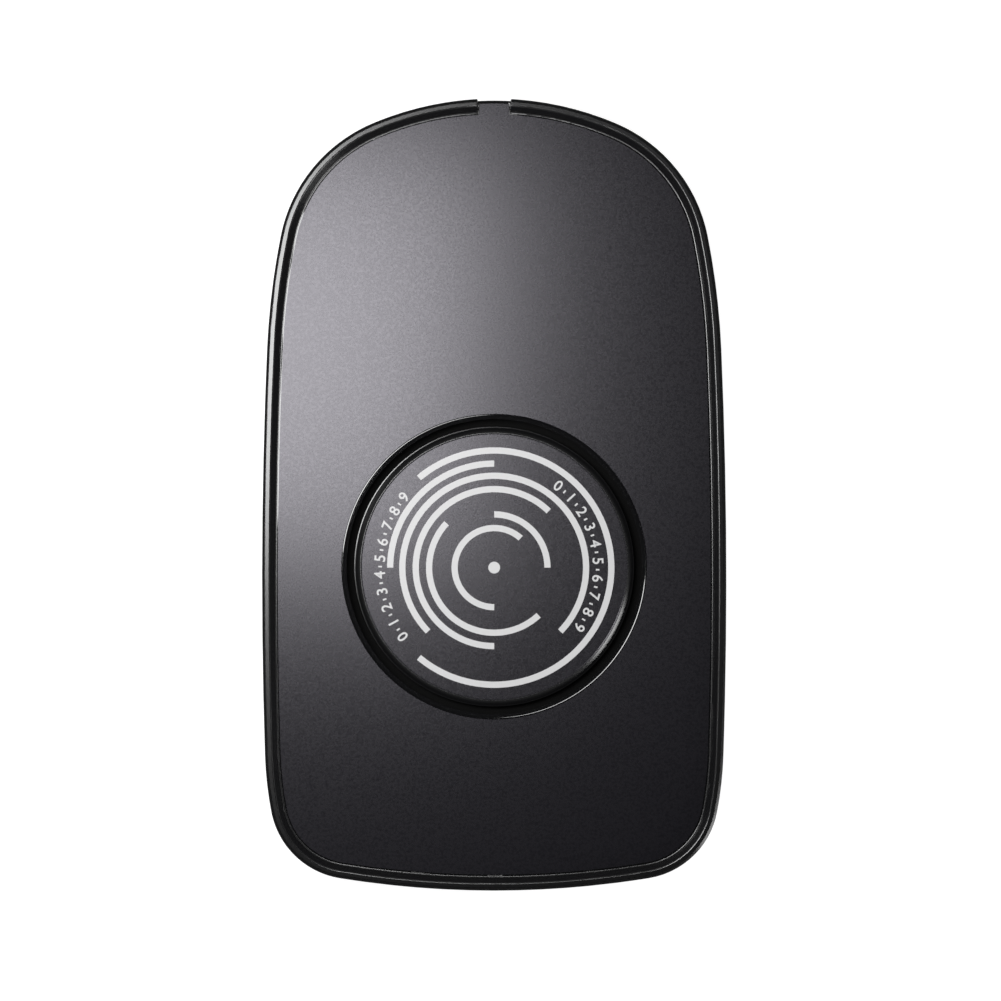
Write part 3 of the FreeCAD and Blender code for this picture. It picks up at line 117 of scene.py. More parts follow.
def length(label, text, default, low=0.0):
    """A length setting, in metres."""
    return FloatProperty(name=label, description=text, default=default, min=low, unit="LENGTH", precision=5)


def angle(label, text, degrees):
    """An angle setting, given in degrees."""
    return FloatProperty(name=label, description=text, default=math.radians(degrees), subtype="ANGLE")


def share(label, text, default):
    """A setting from 0 to 1."""
    return FloatProperty(name=label, description=text, default=default, min=0.0, max=1.0, subtype="FACTOR")


def count(label, text, default, low):
    """A setting in whole numbers."""
    return IntProperty(name=label, description=text, default=default, min=low)


def radiance(label, text, default):
    """The brightness of a lamp's face."""
    return FloatProperty(name=label, description=text, default=default, min=0.0)


def colour(label, text, default):
    """A colour setting."""
    return FloatVectorProperty(
        name=label, description=text, default=default, size=3, min=0.0, max=1.0, subtype="COLOR"
    )


class JigglerPrint(PropertyGroup):
    """Sizes of what is printed on the dial."""

    line_width: length("Arc width", "Width of the printed arcs", 1.03 * MM)
    shift: length("Print shift", "How far the print lies behind the dial's centre", 0.15 * MM)
    ink_height: length("Ink height", "How far the ink stands above the dial", 0.02 * MM)
    ink_sink: length("Ink sink", "How far the ink reaches into the dial", 0.02 * MM)
    dot_radius: length("Dot radius", "Radius of the dot at the dial's centre", 0.97 * MM)
    digit_height: length("Digit height", "Height of the dial's numbers", 1.75 * MM)
    digit_weight: length("Digit weight", "How much bolder the dial's numbers are", 0.035 * MM)
    tick_length: length("Tick length", "Length of the short tick marks", 0.6 * MM)
    tick_width: length("Tick width", "Width of the tick marks", 0.27 * MM)
    left_radius: length("Left scale radius", "Radius of the middle of the left scale", 18.75 * MM)
    left_start: angle("Left scale start", "Angle of the left scale's first number", 217.0)
    left_sweep: angle("Left scale sweep", "How far the left scale runs", -75.0)
    right_radius: length("Right scale radius", "Radius of the middle of the right scale", 17.0 * MM)
    right_start: angle("Right scale start", "Angle of the right scale's first number", 52.0)
    right_sweep: angle("Right scale sweep", "How far the right scale runs", -87.0)
    numbers: count("Numbers", "Numbers on each scale, from 0 up", 10, 2)
    ticks_between: count("Ticks", "Tick marks between two numbers", 1, 0)


class JigglerFittings(PropertyGroup):
    """Sizes of the small fittings in the walls and under the case."""

    knob_edge: length("Knob edge", "Width of the rounding along the power knob's edges", 0.12 * MM)
    inlet_edge: length("Inlet edge", "Width of the rounding along the inlet shell's edges", 0.06 * MM)
    screw_edge: length("Screw edge", "Width of the rounding along the case screws' edges", 0.1 * MM)
    contact_width: length("Contact width", "Width of one contact on the inlet's tongue", 0.25 * MM)
    contact_pitch: length("Contact pitch", "Distance between the middles of two contacts", 0.5 * MM)
    contact_length: length("Contact length", "Length of one contact", 3.4 * MM)
    contact_height: length("Contact height", "How far a contact stands above the tongue", 0.03 * MM)
    contact_inset: length("Contact inset", "How far a contact lies behind the tongue's front", 0.35 * MM)
    contacts: count("Contacts", "Contacts on each side of the tongue", 12, 1)


class JigglerTrim(PropertyGroup):
    """Sizes of the thin trim round the deck and its hole."""

    edge_rise: length("Edge rise", "How far the polished edge fills the deck's chamfer", 0.131 * MM)
    edge_skirt: length("Edge skirt", "How far the polished edge reaches down at its outer side", 0.1 * MM)
    edge_sheet: length("Edge thickness", "Thickness of the polished edge", 0.02 * MM)
    bead_radius: length("Bead radius", "Radius of the bead's section", 0.36 * MM)
    bead_place: length("Bead place", "Radius of the bead's ring", 24.92 * MM)
    bead_rise: length("Bead rise", "How far the bead stands above the deck", 0.02 * MM)
    lip_inner: length("Lip inner radius", "Inner radius of the ring on the well's lip", 24.26 * MM)
    lip_outer: length("Lip outer radius", "Outer radius of the ring on the well's lip", 24.8 * MM)
    lip_drop: length("Lip drop", "How far the ring's top lies below the deck", 0.07 * MM)
    lip_depth: length("Lip depth", "Height of the ring's section", 0.2 * MM)
    lip_tilt: angle("Lip tilt", "How far the ring's top slopes down towards the dial", 4.2)


class JigglerFinish(PropertyGroup):
    """Colours and roughnesses of the finishes that show."""

    satin: colour("Satin black", "Deck and dial plate", (0.0058, 0.0055, 0.0074))
    satin_shine: colour("Satin shine", "Tint of the light that the satin reflects", (0.955, 0.925, 1.0))
    satin_roughness: share("Satin roughness", "Deck and dial plate", 0.265)
    satin_grain: length("Satin grain", "Size of the grain in the satin finish", 0.42 * MM)
    gloss: colour("Gloss black", "Rim, side wall, well and carrier", (0.003, 0.003, 0.0034))
    gloss_roughness: share("Gloss roughness", "Rim, side wall, well and carrier", 0.25)
    trim_roughness: share("Trim roughness", "Thin trim round the deck and its hole", 0.06)
    textured: colour("Textured black", "Base of the case", (0.016, 0.016, 0.017))
    rubber: colour("Rubber", "Feet", (0.022, 0.022, 0.022))
    # The felt's near-black colour is partly painted shade: it makes the groove round the dial as dark as its
    # shade.
    felt: colour("Felt", "Ring in the well", (0.004, 0.004, 0.004))
    ink: colour("Ink", "Print on the dial", (0.51, 0.51, 0.513))


class JigglerStage(PropertyGroup):
    """Camera, lamps, room and floor."""

    camera_height: length("Camera height", "Height of the camera above the deck", 1.0)
    view_width: length("View width", "Width of the camera's view, at the deck", 164.47 * MM)
    camera_x: length("Camera X", "Sideways place of the camera", 1.035 * MM, low=-1.0)
    camera_y: length("Camera Y", "Lengthways place of the camera", -0.97 * MM, low=-1.0)
    softbox_height: length("Softbox height", "Height of the softbox above the deck", 188 * MM)
    softbox_x: length("Softbox X", "Sideways place of the softbox", -84.4 * MM, low=-1.0)
    softbox_y: length("Softbox Y", "Lengthways place of the softbox", 35.0 * MM, low=-1.0)
    softbox_long: length("Softbox length", "Long side of the softbox", 158 * MM)
    softbox_short: length("Softbox width", "Short side of the softbox", 81 * MM)
    softbox_turn: angle("Softbox turn", "Turn of the softbox in plan", -5.56)
    softbox_radiance: radiance("Softbox radiance", "Brightness of the softbox's face", 13.6)
    strip_distance: length("Strip distance", "How far the strip light stands from the middle", 260 * MM)
    strip_turn: angle("Strip turn", "Where the strip light stands, from +X", -32.0)
    strip_width: length("Strip width", "Level side of the strip light", 110 * MM)
    strip_low: length("Strip foot", "Height of the strip light's lower edge", 12 * MM)
    strip_high: length("Strip head", "Height of the strip light's upper edge", 120 * MM)
    strip_radiance: radiance("Strip radiance", "Brightness of the strip light's face", 9.0)
    ceiling: share("Ceiling", "Brightness of the room above the object", 0.02)
    wall_top: share("Wall top", "Rise of the line of sight at which the walls start to darken", 0.1)
    ceiling_edge: share("Ceiling edge", "Rise of the line of sight at which the ceiling is reached", 0.41)
    room: share("Room", "Brightness of the room as it lights matt surfaces", 0.25)
    floor_size: length("Floor size", "Side of the floor", 6.0)
    floor_drop: length("Floor drop", "How far the floor lies below the feet", 0.02 * MM)
    floor_glow: share("Floor glow", "How much brighter the floor looks than it is lit", 0.9)
    floor_tone: share("Floor tone", "How pale the floor is where it is lit", 0.4)


SETTINGS = {
    "jiggler_print": JigglerPrint,
    "jiggler_fittings": JigglerFittings,
    "jiggler_trim": JigglerTrim,
    "jiggler_finish": JigglerFinish,
    "jiggler_stage": JigglerStage,
}


# ---------------------------------------------------------------- modelling helpers


def deselect():
    """Leaves nothing selected, in object mode, so that an operator acts on the new piece alone."""
    if bpy.context.mode != "OBJECT":
        bpy.ops.object.mode_set(mode="OBJECT")
    bpy.ops.object.select_all(action="DESELECT")


def duplicate(piece):
    """Makes a copy of a piece, with its own mesh, and leaves it active and selected."""
    deselect()
    piece.select_set(True)
    bpy.context.view_layer.objects.active = piece
    bpy.ops.object.duplicate(linked=False)


def settle(name):
    """Names the active piece and moves its place into its mesh."""
    piece = bpy.context.object
    piece.name = name
    piece.data.name = name
    bpy.ops.object.transform_apply(location=True, rotation=True, scale=True)
    return piece


def join(pieces, name):
    """Joins pieces into one."""
    deselect()
    for piece in pieces:
        piece.select_set(True)
    bpy.context.view_layer.objects.active = pieces[0]
    bpy.ops.object.join()
    return settle(name)


def tidy_mesh():
    """Merges the active piece's doubles and turns its faces outwards, in edit mode."""
    bpy.ops.mesh.select_all(action="SELECT")
    bpy.ops.mesh.remove_doubles(threshold=WELD)
    bpy.ops.mesh.normals_make_consistent(inside=False)


def select_edges(piece, low, high):
    """Goes into edit mode with only the edges selected that lie between two heights."""
    bpy.ops.object.mode_set(mode="EDIT")
    bpy.ops.mesh.select_mode(type="EDGE")
    bpy.ops.mesh.select_all(action="DESELECT")
    bpy.ops.object.mode_set(mode="OBJECT")
    vertices = piece.data.vertices
    for edge in piece.data.edges:
        edge.select = all(low < vertices[i].co.z < high for i in edge.vertices)
    bpy.ops.object.mode_set(mode="EDIT")


def add_block(name, place, size, edge, segments):
    """A small block with softened edges."""
    deselect()
    bpy.ops.mesh.primitive_cube_add(size=1, location=place)
    bpy.context.object.scale = size
    piece = settle(name)
    bpy.ops.object.mode_set(mode="EDIT")
    bpy.ops.mesh.select_all(action="SELECT")
    bpy.ops.mesh.bevel(offset=edge, segments=segments)
    tidy_mesh()
    deselect()
    return piece


def coat(piece, material):
    """Gives a piece one material all over."""
    piece.data.materials.clear()
    piece.data.materials.append(material)


# ---------------------------------------------------------------- finishes


class Finish:
    """A material while it is made: its shader, and patterns on the piece's own coordinates."""

    def __init__(self, name, tint, roughness, metallic=0.0, **sockets):
        self.material = bpy.data.materials.new(name)
        self.material.use_nodes = True
        self.material.diffuse_color = (*tint, 1.0)
        self.nodes = self.material.node_tree.nodes
        self.links = self.material.node_tree.links
        self.shader = self.nodes["Principled BSDF"]
        self.tint = tint
        self.shader.inputs["Base Color"].default_value = (*tint, 1.0)
        self.shader.inputs["Roughness"].default_value = roughness
        self.shader.inputs["Metallic"].default_value = metallic
        for socket, value in sockets.items():
            self.shader.inputs[socket.replace("_", " ")].default_value = value
        self.place = self.nodes.new("ShaderNodeTexCoord").outputs["Object"]

    def add(self, kind, inputs, **values):
        """A node with plain values in some sockets and links into others."""
        node = self.nodes.new("ShaderNode" + kind)
        for key, value in values.items():
            setattr(node, key, value)
        for key, value in inputs.items():
            if isinstance(value, bpy.types.NodeSocket):
                self.links.new(value, node.inputs[key])
            else:
                node.inputs[key].default_value = value
        return node

    def noise(self, size, detail=2.0, stretch=None):
        """Cloudy noise with features of about a size, made longer by a stretch along each axis."""
        place = self.place
        if stretch:
            scale = [1.0 / part for part in stretch]
            place = self.add("Mapping", {"Vector": place, "Scale": scale}).outputs[0]
        inputs = {"Vector": place, "Scale": 1.0 / size, "Detail": detail}
        return self.add("TexNoise", inputs).outputs[0]

    def cells(self, size):
        """Rounded cells of about a size."""
        return self.add("TexVoronoi", {"Vector": self.place, "Scale": 1.0 / size}).outputs["Distance"]

    def bands(self, pitch, wobble):
        """Level bands, one above the other. At a scale of 1 the node's wave turns 20 radians a metre."""
        radians = 20
        inputs = {"Vector": self.place, "Scale": math.tau / (radians * pitch), "Distortion": wobble}
        return self.add("TexWave", inputs, bands_direction="Z").outputs["Fac"]

    def tone(self, pattern, dark, light):
        """Lets the base colour go from a darker to a lighter shade of itself with a pattern."""
        mix = self.add("Mix", {}, data_type="RGBA")
        colours = [socket for socket in mix.inputs if socket.type == "RGBA"]
        self.links.new(pattern, mix.inputs["Factor"])
        colours[0].default_value = (*(min(1.0, part * dark) for part in self.tint), 1.0)
        colours[1].default_value = (*(min(1.0, part * light) for part in self.tint), 1.0)
        output = next(socket for socket in mix.outputs if socket.type == "RGBA")
        self.links.new(output, self.shader.inputs["Base Color"])

    def sheen(self, pattern, low, high, start=0.3, end=0.7):
        """Lets the roughness go from low to high as a pattern goes from start to end."""
        inputs = {"Value": pattern, "From Min": start, "From Max": end, "To Min": low, "To Max": high}
        self.links.new(self.add("MapRange", inputs).outputs[0], self.shader.inputs["Roughness"])

    def relief(self, pattern, depth, strength):
        """A bump of a depth that follows a pattern."""
        bump = self.add("Bump", {"Height": pattern, "Distance": depth, "Strength": strength})
        self.links.new(bump.outputs[0], self.shader.inputs["Normal"])


def satin_plastic(name, finish):
    """Satin charcoal with a fine grain, which smooths it more than it roughens it."""
    look = Finish(name, finish.satin, finish.satin_roughness, Specular_IOR_Level=0.49)
    look.shader.inputs["Specular Tint"].default_value = (*finish.satin_shine, 1.0)
    grain = look.noise(finish.satin_grain, detail=0.6)
    smoothest = finish.satin_roughness - 0.045
    roughest = finish.satin_roughness + 0.009
    look.tone(grain, dark=0.9, light=1.1)
    look.sheen(grain, smoothest, roughest, start=0.15, end=0.57)
    look.relief(grain, 0.004 * MM, strength=0.5)
    return look.material


def gloss_plastic(name, finish, roughness):
    """Polished black, with the faint waviness of a moulding."""
    look = Finish(name, finish.gloss, roughness, Specular_IOR_Level=0.75)
    wave = look.noise(2.5 * MM, detail=1.0)
    swing = 0.015
    look.tone(wave, dark=0.9, light=1.1)
    look.sheen(look.noise(0.4 * MM), roughness - swing, roughness + swing)
    look.relief(wave, 0.002 * MM, strength=0.5)
    return look.material


def textured_plastic(name, finish):
    """Spark-eroded black: a fine pebble over the whole face."""
    look = Finish(name, finish.textured, roughness=0.55)
    pebble = look.noise(0.35 * MM, detail=3.0)
    look.tone(pebble, dark=0.8, light=1.2)
    look.sheen(pebble, low=0.48, high=0.62)
    look.relief(pebble, 0.03 * MM, strength=0.6)
    return look.material


def knob_plastic(name, finish):
    """Satin black of a small moulded knob."""
    look = Finish(name, finish.textured, roughness=0.38)
    pebble = look.noise(0.2 * MM)
    look.tone(pebble, dark=0.85, light=1.15)
    look.sheen(pebble, low=0.33, high=0.43)
    look.relief(pebble, 0.008 * MM, strength=0.5)
    return look.material


def black_felt(name, finish):
    """Pressed felt: short matt fibres lying every way. Its near-black colour is partly painted shade: it
    stands in for the shade in the groove round the dial.
    """
    look = Finish(name, finish.felt, roughness=0.95, Specular_IOR_Level=0.05)
    fibres = look.noise(0.2 * MM, detail=5.0)
    look.tone(fibres, dark=0.4, light=1.6)
    look.sheen(fibres, low=0.88, high=1.0)
    look.relief(fibres, 0.06 * MM, strength=0.8)
    return look.material


def foot_rubber(name, finish):
    """Matt moulded rubber with a little bloom."""
    look = Finish(name, finish.rubber, roughness=0.85, Specular_IOR_Level=0.3)
    bloom = look.noise(3.0 * MM, detail=4.0)
    look.tone(bloom, dark=0.75, light=1.35)
    look.sheen(bloom, low=0.78, high=0.92)
    look.relief(look.noise(0.25 * MM), 0.02 * MM, strength=0.6)
    return look.material


def plated_steel(name, tint, roughness, spangle):
    """Plated or rolled steel, with a faint crystal pattern."""
    look = Finish(name, tint, roughness, metallic=1.0)
    crystals = look.cells(spangle)
    swing = 0.06
    look.tone(crystals, dark=0.88, light=1.06)
    look.sheen(look.noise(spangle / 2, detail=3.0), roughness - swing, roughness + swing)
    look.relief(crystals, 0.004 * MM, strength=0.4)
    return look.material


def turned_metal(name, tint, roughness, pitch):
    """Metal turned on a lathe whose axis is upright: fine level lines."""
    look = Finish(name, tint, roughness, metallic=1.0)
    lines = look.bands(pitch, wobble=1.0)
    swing = 0.05
    look.tone(look.noise(0.8 * MM, detail=3.0), dark=0.92, light=1.05)
    look.sheen(lines, roughness - swing, roughness + swing)
    look.relief(lines, 0.004 * MM, strength=0.5)
    return look.material


def drawn_steel(name, tint, roughness):
    """Sheet steel drawn along Y, with fine lengthways lines."""
    look = Finish(name, tint, roughness, metallic=1.0)
    lines = look.noise(0.12 * MM, detail=3.0, stretch=(1.0, 25.0, 1.0))
    swing = 0.07
    look.tone(lines, dark=0.9, light=1.05)
    look.sheen(lines, roughness - swing, roughness + swing)
    look.relief(lines, 0.003 * MM, strength=0.5)
    return look.material


def sintered_bronze(name, tint):
    """Porous bronze of a plain bearing."""
    look = Finish(name, tint, roughness=0.42, metallic=1.0)
    pores = look.cells(0.12 * MM)
    look.tone(pores, dark=0.7, light=1.05)
    look.sheen(pores, low=0.36, high=0.5)
    look.relief(pores, 0.01 * MM, strength=0.6)
    return look.material


def wound_copper(name, tint):
    """Layers of enamelled wire."""
    look = Finish(name, tint, roughness=0.28, metallic=1.0, Coat_Weight=0.4)
    turns = look.bands(0.07 * MM, wobble=0.4)
    look.tone(turns, dark=0.45, light=1.1)
    look.sheen(look.noise(0.5 * MM), low=0.24, high=0.34)
    look.relief(turns, 0.05 * MM, strength=0.8)
    return look.material


def moulded_plastic(name, tint, roughness, grain, depth):
    """Plain moulded plastic with a soft flow pattern."""
    look = Finish(name, tint, roughness)
    texture = look.noise(grain)
    swing = 0.05
    look.tone(look.noise(4 * grain, detail=3.0), dark=0.9, light=1.08)
    look.sheen(texture, roughness - swing, roughness + swing)
    look.relief(texture, depth, strength=0.5)
    return look.material


def solder_mask(name, tint):
    """Green mask over copper tracks."""
    look = Finish(name, tint, roughness=0.3, Coat_Weight=0.3)
    inputs = {"Vector": look.place, "Scale": 90.0, "Mortar Size": 0.03}
    tracks = look.add("TexBrick", inputs, offset=0.5).outputs["Fac"]
    look.tone(tracks, dark=0.8, light=2.2)
    look.sheen(look.noise(0.6 * MM), low=0.26, high=0.36)
    look.relief(tracks, 0.02 * MM, strength=0.5)
    return look.material


def clear_acrylic(name, tint):
    """A clear rod, faintly frosted at its cut ends."""
    look = Finish(name, tint, roughness=0.12, Transmission_Weight=1.0, IOR=1.49)
    cloud = look.noise(0.4 * MM)
    look.sheen(cloud, low=0.08, high=0.18)
    look.relief(cloud, 0.003 * MM, strength=0.4)
    return look.material


def dial_ink(name, finish):
    """Pale grey screen-printed ink, a little uneven."""
    look = Finish(name, finish.ink, roughness=0.45)
    specks = look.noise(0.15 * MM, detail=3.0)
    look.tone(specks, dark=0.95, light=1.04)
    look.sheen(specks, low=0.4, high=0.5)
    look.relief(specks, 0.004 * MM, strength=0.4)
    return look.material


# Plain mouldings: colour, roughness, and the size and depth of the grain in millimetres.
MOULDINGS = {
    "gear_acetal": ((0.82, 0.82, 0.79), 0.42, 0.4, 0.006),
    "magnet_ferrite": ((0.05, 0.05, 0.052), 0.6, 0.15, 0.01),
    "chip_black": ((0.02, 0.02, 0.022), 0.55, 0.1, 0.01),
    "terminal_white": ((0.8, 0.78, 0.7), 0.45, 0.3, 0.006),
    "lead_red": ((0.5, 0.04, 0.03), 0.4, 0.3, 0.004),
    "lamp_white": ((0.85, 0.85, 0.8), 0.35, 0.3, 0.004),
}


def finishes(finish):
    """The material of each of the record's slots."""
    looks = {
        "gloss_black": gloss_plastic("gloss_black", finish, finish.gloss_roughness),
        "base_black": textured_plastic("base_black", finish),
        "deck_satin": satin_plastic("deck_satin", finish),
        "dial_satin": satin_plastic("dial_satin", finish),
        "foot_rubber": foot_rubber("foot_rubber", finish),
        "screw_steel": plated_steel("screw_steel", (0.55, 0.55, 0.56), roughness=0.32, spangle=0.5 * MM),
        "shaft_steel": turned_metal("shaft_steel", (0.62, 0.62, 0.63), roughness=0.2, pitch=0.06 * MM),
        "motor_steel": plated_steel("motor_steel", (0.68, 0.68, 0.67), roughness=0.34, spangle=1.2 * MM),
        "bearing_brass": sintered_bronze("bearing_brass", (0.72, 0.55, 0.28)),
        "pinion_brass": turned_metal("pinion_brass", (0.78, 0.62, 0.32), roughness=0.25, pitch=0.05 * MM),
        "coil_copper": wound_copper("coil_copper", (0.72, 0.36, 0.18)),
        "board_mask": solder_mask("board_mask", (0.02, 0.12, 0.05)),
        "inlet_steel": drawn_steel("inlet_steel", (0.72, 0.72, 0.72), roughness=0.26),
        "pipe_clear": clear_acrylic("pipe_clear", (0.95, 0.97, 0.98)),
        "knob_black": knob_plastic("knob_black", finish),
        "felt_black": black_felt("felt_black", finish),
    }
    for name, (tint, roughness, grain, depth) in MOULDINGS.items():
        looks[name] = moulded_plastic(name, tint, roughness, grain * MM, depth * MM)
    return looks


class JIGGLER_OT_finishes(Operator):
    """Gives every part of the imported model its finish"""

    bl_idname = "jiggler.finishes"
    bl_label = "Finish the packed parts"

    def execute(self, context):
        looks = finishes(context.scene.jiggler_finish)
        for row in frame["record"]["subparts"]:
            slots = NODES[row["node"]].material_slots
            if not slots:
                raise RuntimeError(f"{row['node']} has no material slot")
            for slot in slots:
                slot.material = looks[row["material_slot"]]
        return {"FINISHED"}


# ---------------------------------------------------------------- dial print


def print_centre():
    """The middle of the dial's print, at the desk's height."""
    return Vector((0, DIAL_CENTRE.y - bpy.context.scene.jiggler_print.shift, 0))


def on_dial(radius, turn):
    """A point on the dial, at the middle of the ink's thickness."""
    ink = bpy.context.scene.jiggler_print
    height = DIAL_TOP + (ink.ink_height - ink.ink_sink) / 2
    return print_centre() + Vector((radius * math.cos(turn), radius * math.sin(turn), height))


def finish_print(piece):
    """Gives a printed piece its ink, and lets it turn with the dial."""
    ink = bpy.data.materials.get("dial_ink")
    coat(piece, ink or dial_ink("dial_ink", bpy.context.scene.jiggler_finish))
    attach(piece, "turntable")


class JIGGLER_OT_dial_arcs(Operator):
    """Prints the seven open rings on the dial"""

    bl_idname = "jiggler.dial_arcs"
    bl_label = "Print the dial's arcs"

    def execute(self, context):
        ink = context.scene.jiggler_print
        for number, (radius, start, sweep) in enumerate(DIAL_ARCS, 1):
            turn = math.radians(start)
            deselect()
            bpy.ops.mesh.primitive_plane_add(
                size=1, location=on_dial(radius * MM, turn), rotation=(math.pi / 2, 0, turn)
            )
            context.object.scale = (ink.line_width, ink.ink_height + ink.ink_sink, 1)
            piece = settle(f"dial_arc_{number}")
            bpy.ops.object.mode_set(mode="EDIT")
            bpy.ops.mesh.select_all(action="SELECT")
            bpy.ops.mesh.spin(
                steps=round(ARC_STEPS * sweep / 360),
                angle=-math.radians(sweep),
                center=print_centre(),
                axis=(0, 0, 1),
            )
            tidy_mesh()
            deselect()
            finish_print(piece)
        return {"FINISHED"}


class JIGGLER_OT_dial_dot(Operator):
    """Prints the dot at the dial's centre"""

    bl_idname = "jiggler.dial_dot"
    bl_label = "Print the dial's dot"

    def execute(self, context):
        ink = context.scene.jiggler_print
        deselect()
        bpy.ops.mesh.primitive_cylinder_add(
            vertices=DOT_SIDES,
            radius=ink.dot_radius,
            depth=ink.ink_height + ink.ink_sink,
            location=on_dial(0, 0),
        )
        piece = settle("dial_dot")
        top = max(vertex.co.z for vertex in piece.data.vertices)
        select_edges(piece, top - WELD, math.inf)
        bpy.ops.mesh.bevel(offset=ink.ink_height / 2, segments=2)
        tidy_mesh()
        deselect()
        finish_print(piece)
        return {"FINISHED"}


class JIGGLER_OT_dial_scales(Operator):
    """Prints the two scales of plain numbers and ticks beside the arcs"""

    bl_idname = "jiggler.dial_scales"
    bl_label = "Print the dial's scales"

    def execute(self, context):
        ink = context.scene.jiggler_print
        sides = (
            ("dial_scale_left", ink.left_radius, ink.left_start, ink.left_sweep),
            ("dial_scale_right", ink.right_radius, ink.right_start, ink.right_sweep),
        )
        for side in sides:
            finish_print(print_scale(*side))
        return {"FINISHED"}


def print_scale(name, radius, start, sweep):
    """One scale: plain numbers round an arc, with ticks between them, their tops towards the dial's edge."""
    ink = bpy.context.scene.jiggler_print
    step = sweep / (ink.numbers - 1)
    pitch = step / (ink.ticks_between + 1)
    pieces = [print_number(str(number), radius, start + number * step) for number in range(ink.numbers)]
    tick = print_tick(radius)
    for number in range(ink.numbers - 1):
        for mark in range(1, ink.ticks_between + 1):
            pieces.append(copy_turned(tick, start + number * step + mark * pitch))
    bpy.data.objects.remove(tick)
    return join(pieces, name)


def print_number(text, radius, turn):
    """A number printed across the dial's radius at a turn, its top towards the dial's edge."""
    ink = bpy.context.scene.jiggler_print
    deselect()
    bpy.ops.object.text_add(location=(0, 0, 0))
    figure = bpy.context.object
    figure.data.body = text
    figure.data.size = ink.digit_height / FIGURE_SHARE
    figure.data.offset = ink.digit_weight
    figure.data.extrude = (ink.ink_height + ink.ink_sink) / 2
    figure.data.resolution_u = FIGURE_STEPS
    figure.data.align_x = "CENTER"
    figure.data.align_y = "CENTER"
    bpy.ops.object.convert(target="MESH")
    bpy.ops.object.mode_set(mode="EDIT")
    tidy_mesh()
    deselect()
    piece = bpy.context.object
    piece.select_set(True)
    piece.rotation_euler = (0, 0, turn - math.pi / 2)
    piece.location = on_dial(radius, turn)
    return settle("number")


def print_tick(radius):
    """A tick mark on the print's +X side, which the others are copied from."""
    ink = bpy.context.scene.jiggler_print
    size = (ink.tick_length, ink.tick_width, ink.ink_height + ink.ink_sink)
    return add_block("tick", on_dial(radius, 0), size, ink.ink_height / 2, segments=1)


def copy_turned(piece, turn):
    """A copy of a piece, turned about the middle of the print."""
    duplicate(piece)
    bpy.ops.transform.rotate(value=-turn, orient_axis="Z", center_override=print_centre())
    return settle("tick_copy")


# ---------------------------------------------------------------- fittings


class JIGGLER_OT_small_fittings(Operator):
    """Rounds the edges of the power knob, the inlet's shell and the case screws"""

    bl_idname = "jiggler.small_fittings"
    bl_label = "Round the small fittings"

    def execute(self, context):
        fittings = context.scene.jiggler_fittings
        soften("switch_knob", "power_knob", fittings.knob_edge, "knob")
        soften("usb_inlet", "inlet_shell", fittings.inlet_edge, "case")
        soften("case_screws", "base_screws", fittings.screw_edge, "case")
        return {"FINISHED"}


def soften(node, name, width, body):
    """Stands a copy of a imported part, with rounded edges, in its place."""
    duplicate(NODES[node])
    piece = settle(name)
    bpy.ops.object.mode_set(mode="EDIT")
    tidy_mesh()
    bpy.ops.mesh.dissolve_limited(angle_limit=FLAT)
    bpy.ops.object.mode_set(mode="OBJECT")
    bevel = piece.modifiers.new("edges", "BEVEL")
    bevel.width = width
    bevel.segments = 3
    bevel.limit_method = "ANGLE"
    bevel.angle_limit = SHARP
    bevel.use_clamp_overlap = True
    bpy.ops.object.modifier_apply(modifier=bevel.name)
    bpy.ops.object.shade_smooth_by_angle(angle=SMOOTH)
    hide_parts(node)
    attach(piece, body)
    deselect()


class JIGGLER_OT_inlet_contacts(Operator):
    """Lays a row of contacts on each side of the inlet's tongue"""

    bl_idname = "jiggler.inlet_contacts"
    bl_label = "Lay the inlet's contacts"

    def execute(self, context):
        fittings = context.scene.jiggler_fittings
        low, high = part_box("usb_inlet_tongue")
        side = -(fittings.contacts - 1) / 2 * fittings.contact_pitch
        middle = high.y - fittings.contact_inset - fittings.contact_length / 2
        pieces = []
        for face in (low.z, high.z):
            first = add_contact(fittings, (side, middle, face))
            pieces.append(first)
            for number in range(1, fittings.contacts):
                pieces.append(copy_moved(first, (number * fittings.contact_pitch, 0, 0)))
        row = join(pieces, "inlet_contacts")
        coat(row, NODES["motor_pinion"].material_slots[0].material)
        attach(row, "case")
        return {"FINISHED"}


def add_contact(fittings, place):
    """One contact, half sunk in the tongue's face."""
    size = (fittings.contact_width, fittings.contact_length, 2 * fittings.contact_height)
    return add_block("contact", place, size, fittings.contact_height / 2, segments=2)


def copy_moved(piece, way):
    """A copy of a piece, moved along a way."""
    duplicate(piece)
    bpy.ops.transform.translate(value=way)
    return settle("contact_copy")


# ---------------------------------------------------------------- trim


class JIGGLER_OT_deck_edge(Operator):
    """Lays a polished edge in the chamfer round the deck"""

    bl_idname = "jiggler.deck_edge"
    bl_label = "Polish the deck's edge"

    def execute(self, context):
        trim = context.scene.jiggler_trim
        piece = chamfer_of_deck("deck_edge")
        middle = (DECK_TOP + min(vertex.co.z for vertex in piece.data.vertices)) / 2
        select_edges(piece, -math.inf, middle)
        bpy.ops.transform.translate(value=(0, 0, trim.edge_rise))
        bpy.ops.mesh.extrude_edges_move(TRANSFORM_OT_translate={"value": (0, 0, -trim.edge_skirt)})
        bpy.ops.mesh.select_all(action="SELECT")
        bpy.ops.mesh.normals_make_consistent(inside=False)
        bpy.ops.object.mode_set(mode="OBJECT")
        sheet = piece.modifiers.new("sheet", "SOLIDIFY")
        sheet.thickness = trim.edge_sheet
        sheet.offset = 0
        bpy.ops.object.modifier_apply(modifier=sheet.name)
        bpy.ops.object.mode_set(mode="EDIT")
        tidy_mesh()
        bpy.ops.object.mode_set(mode="OBJECT")
        bpy.ops.object.shade_smooth_by_angle(angle=SMOOTH)
        finish_trim(piece)
        return {"FINISHED"}


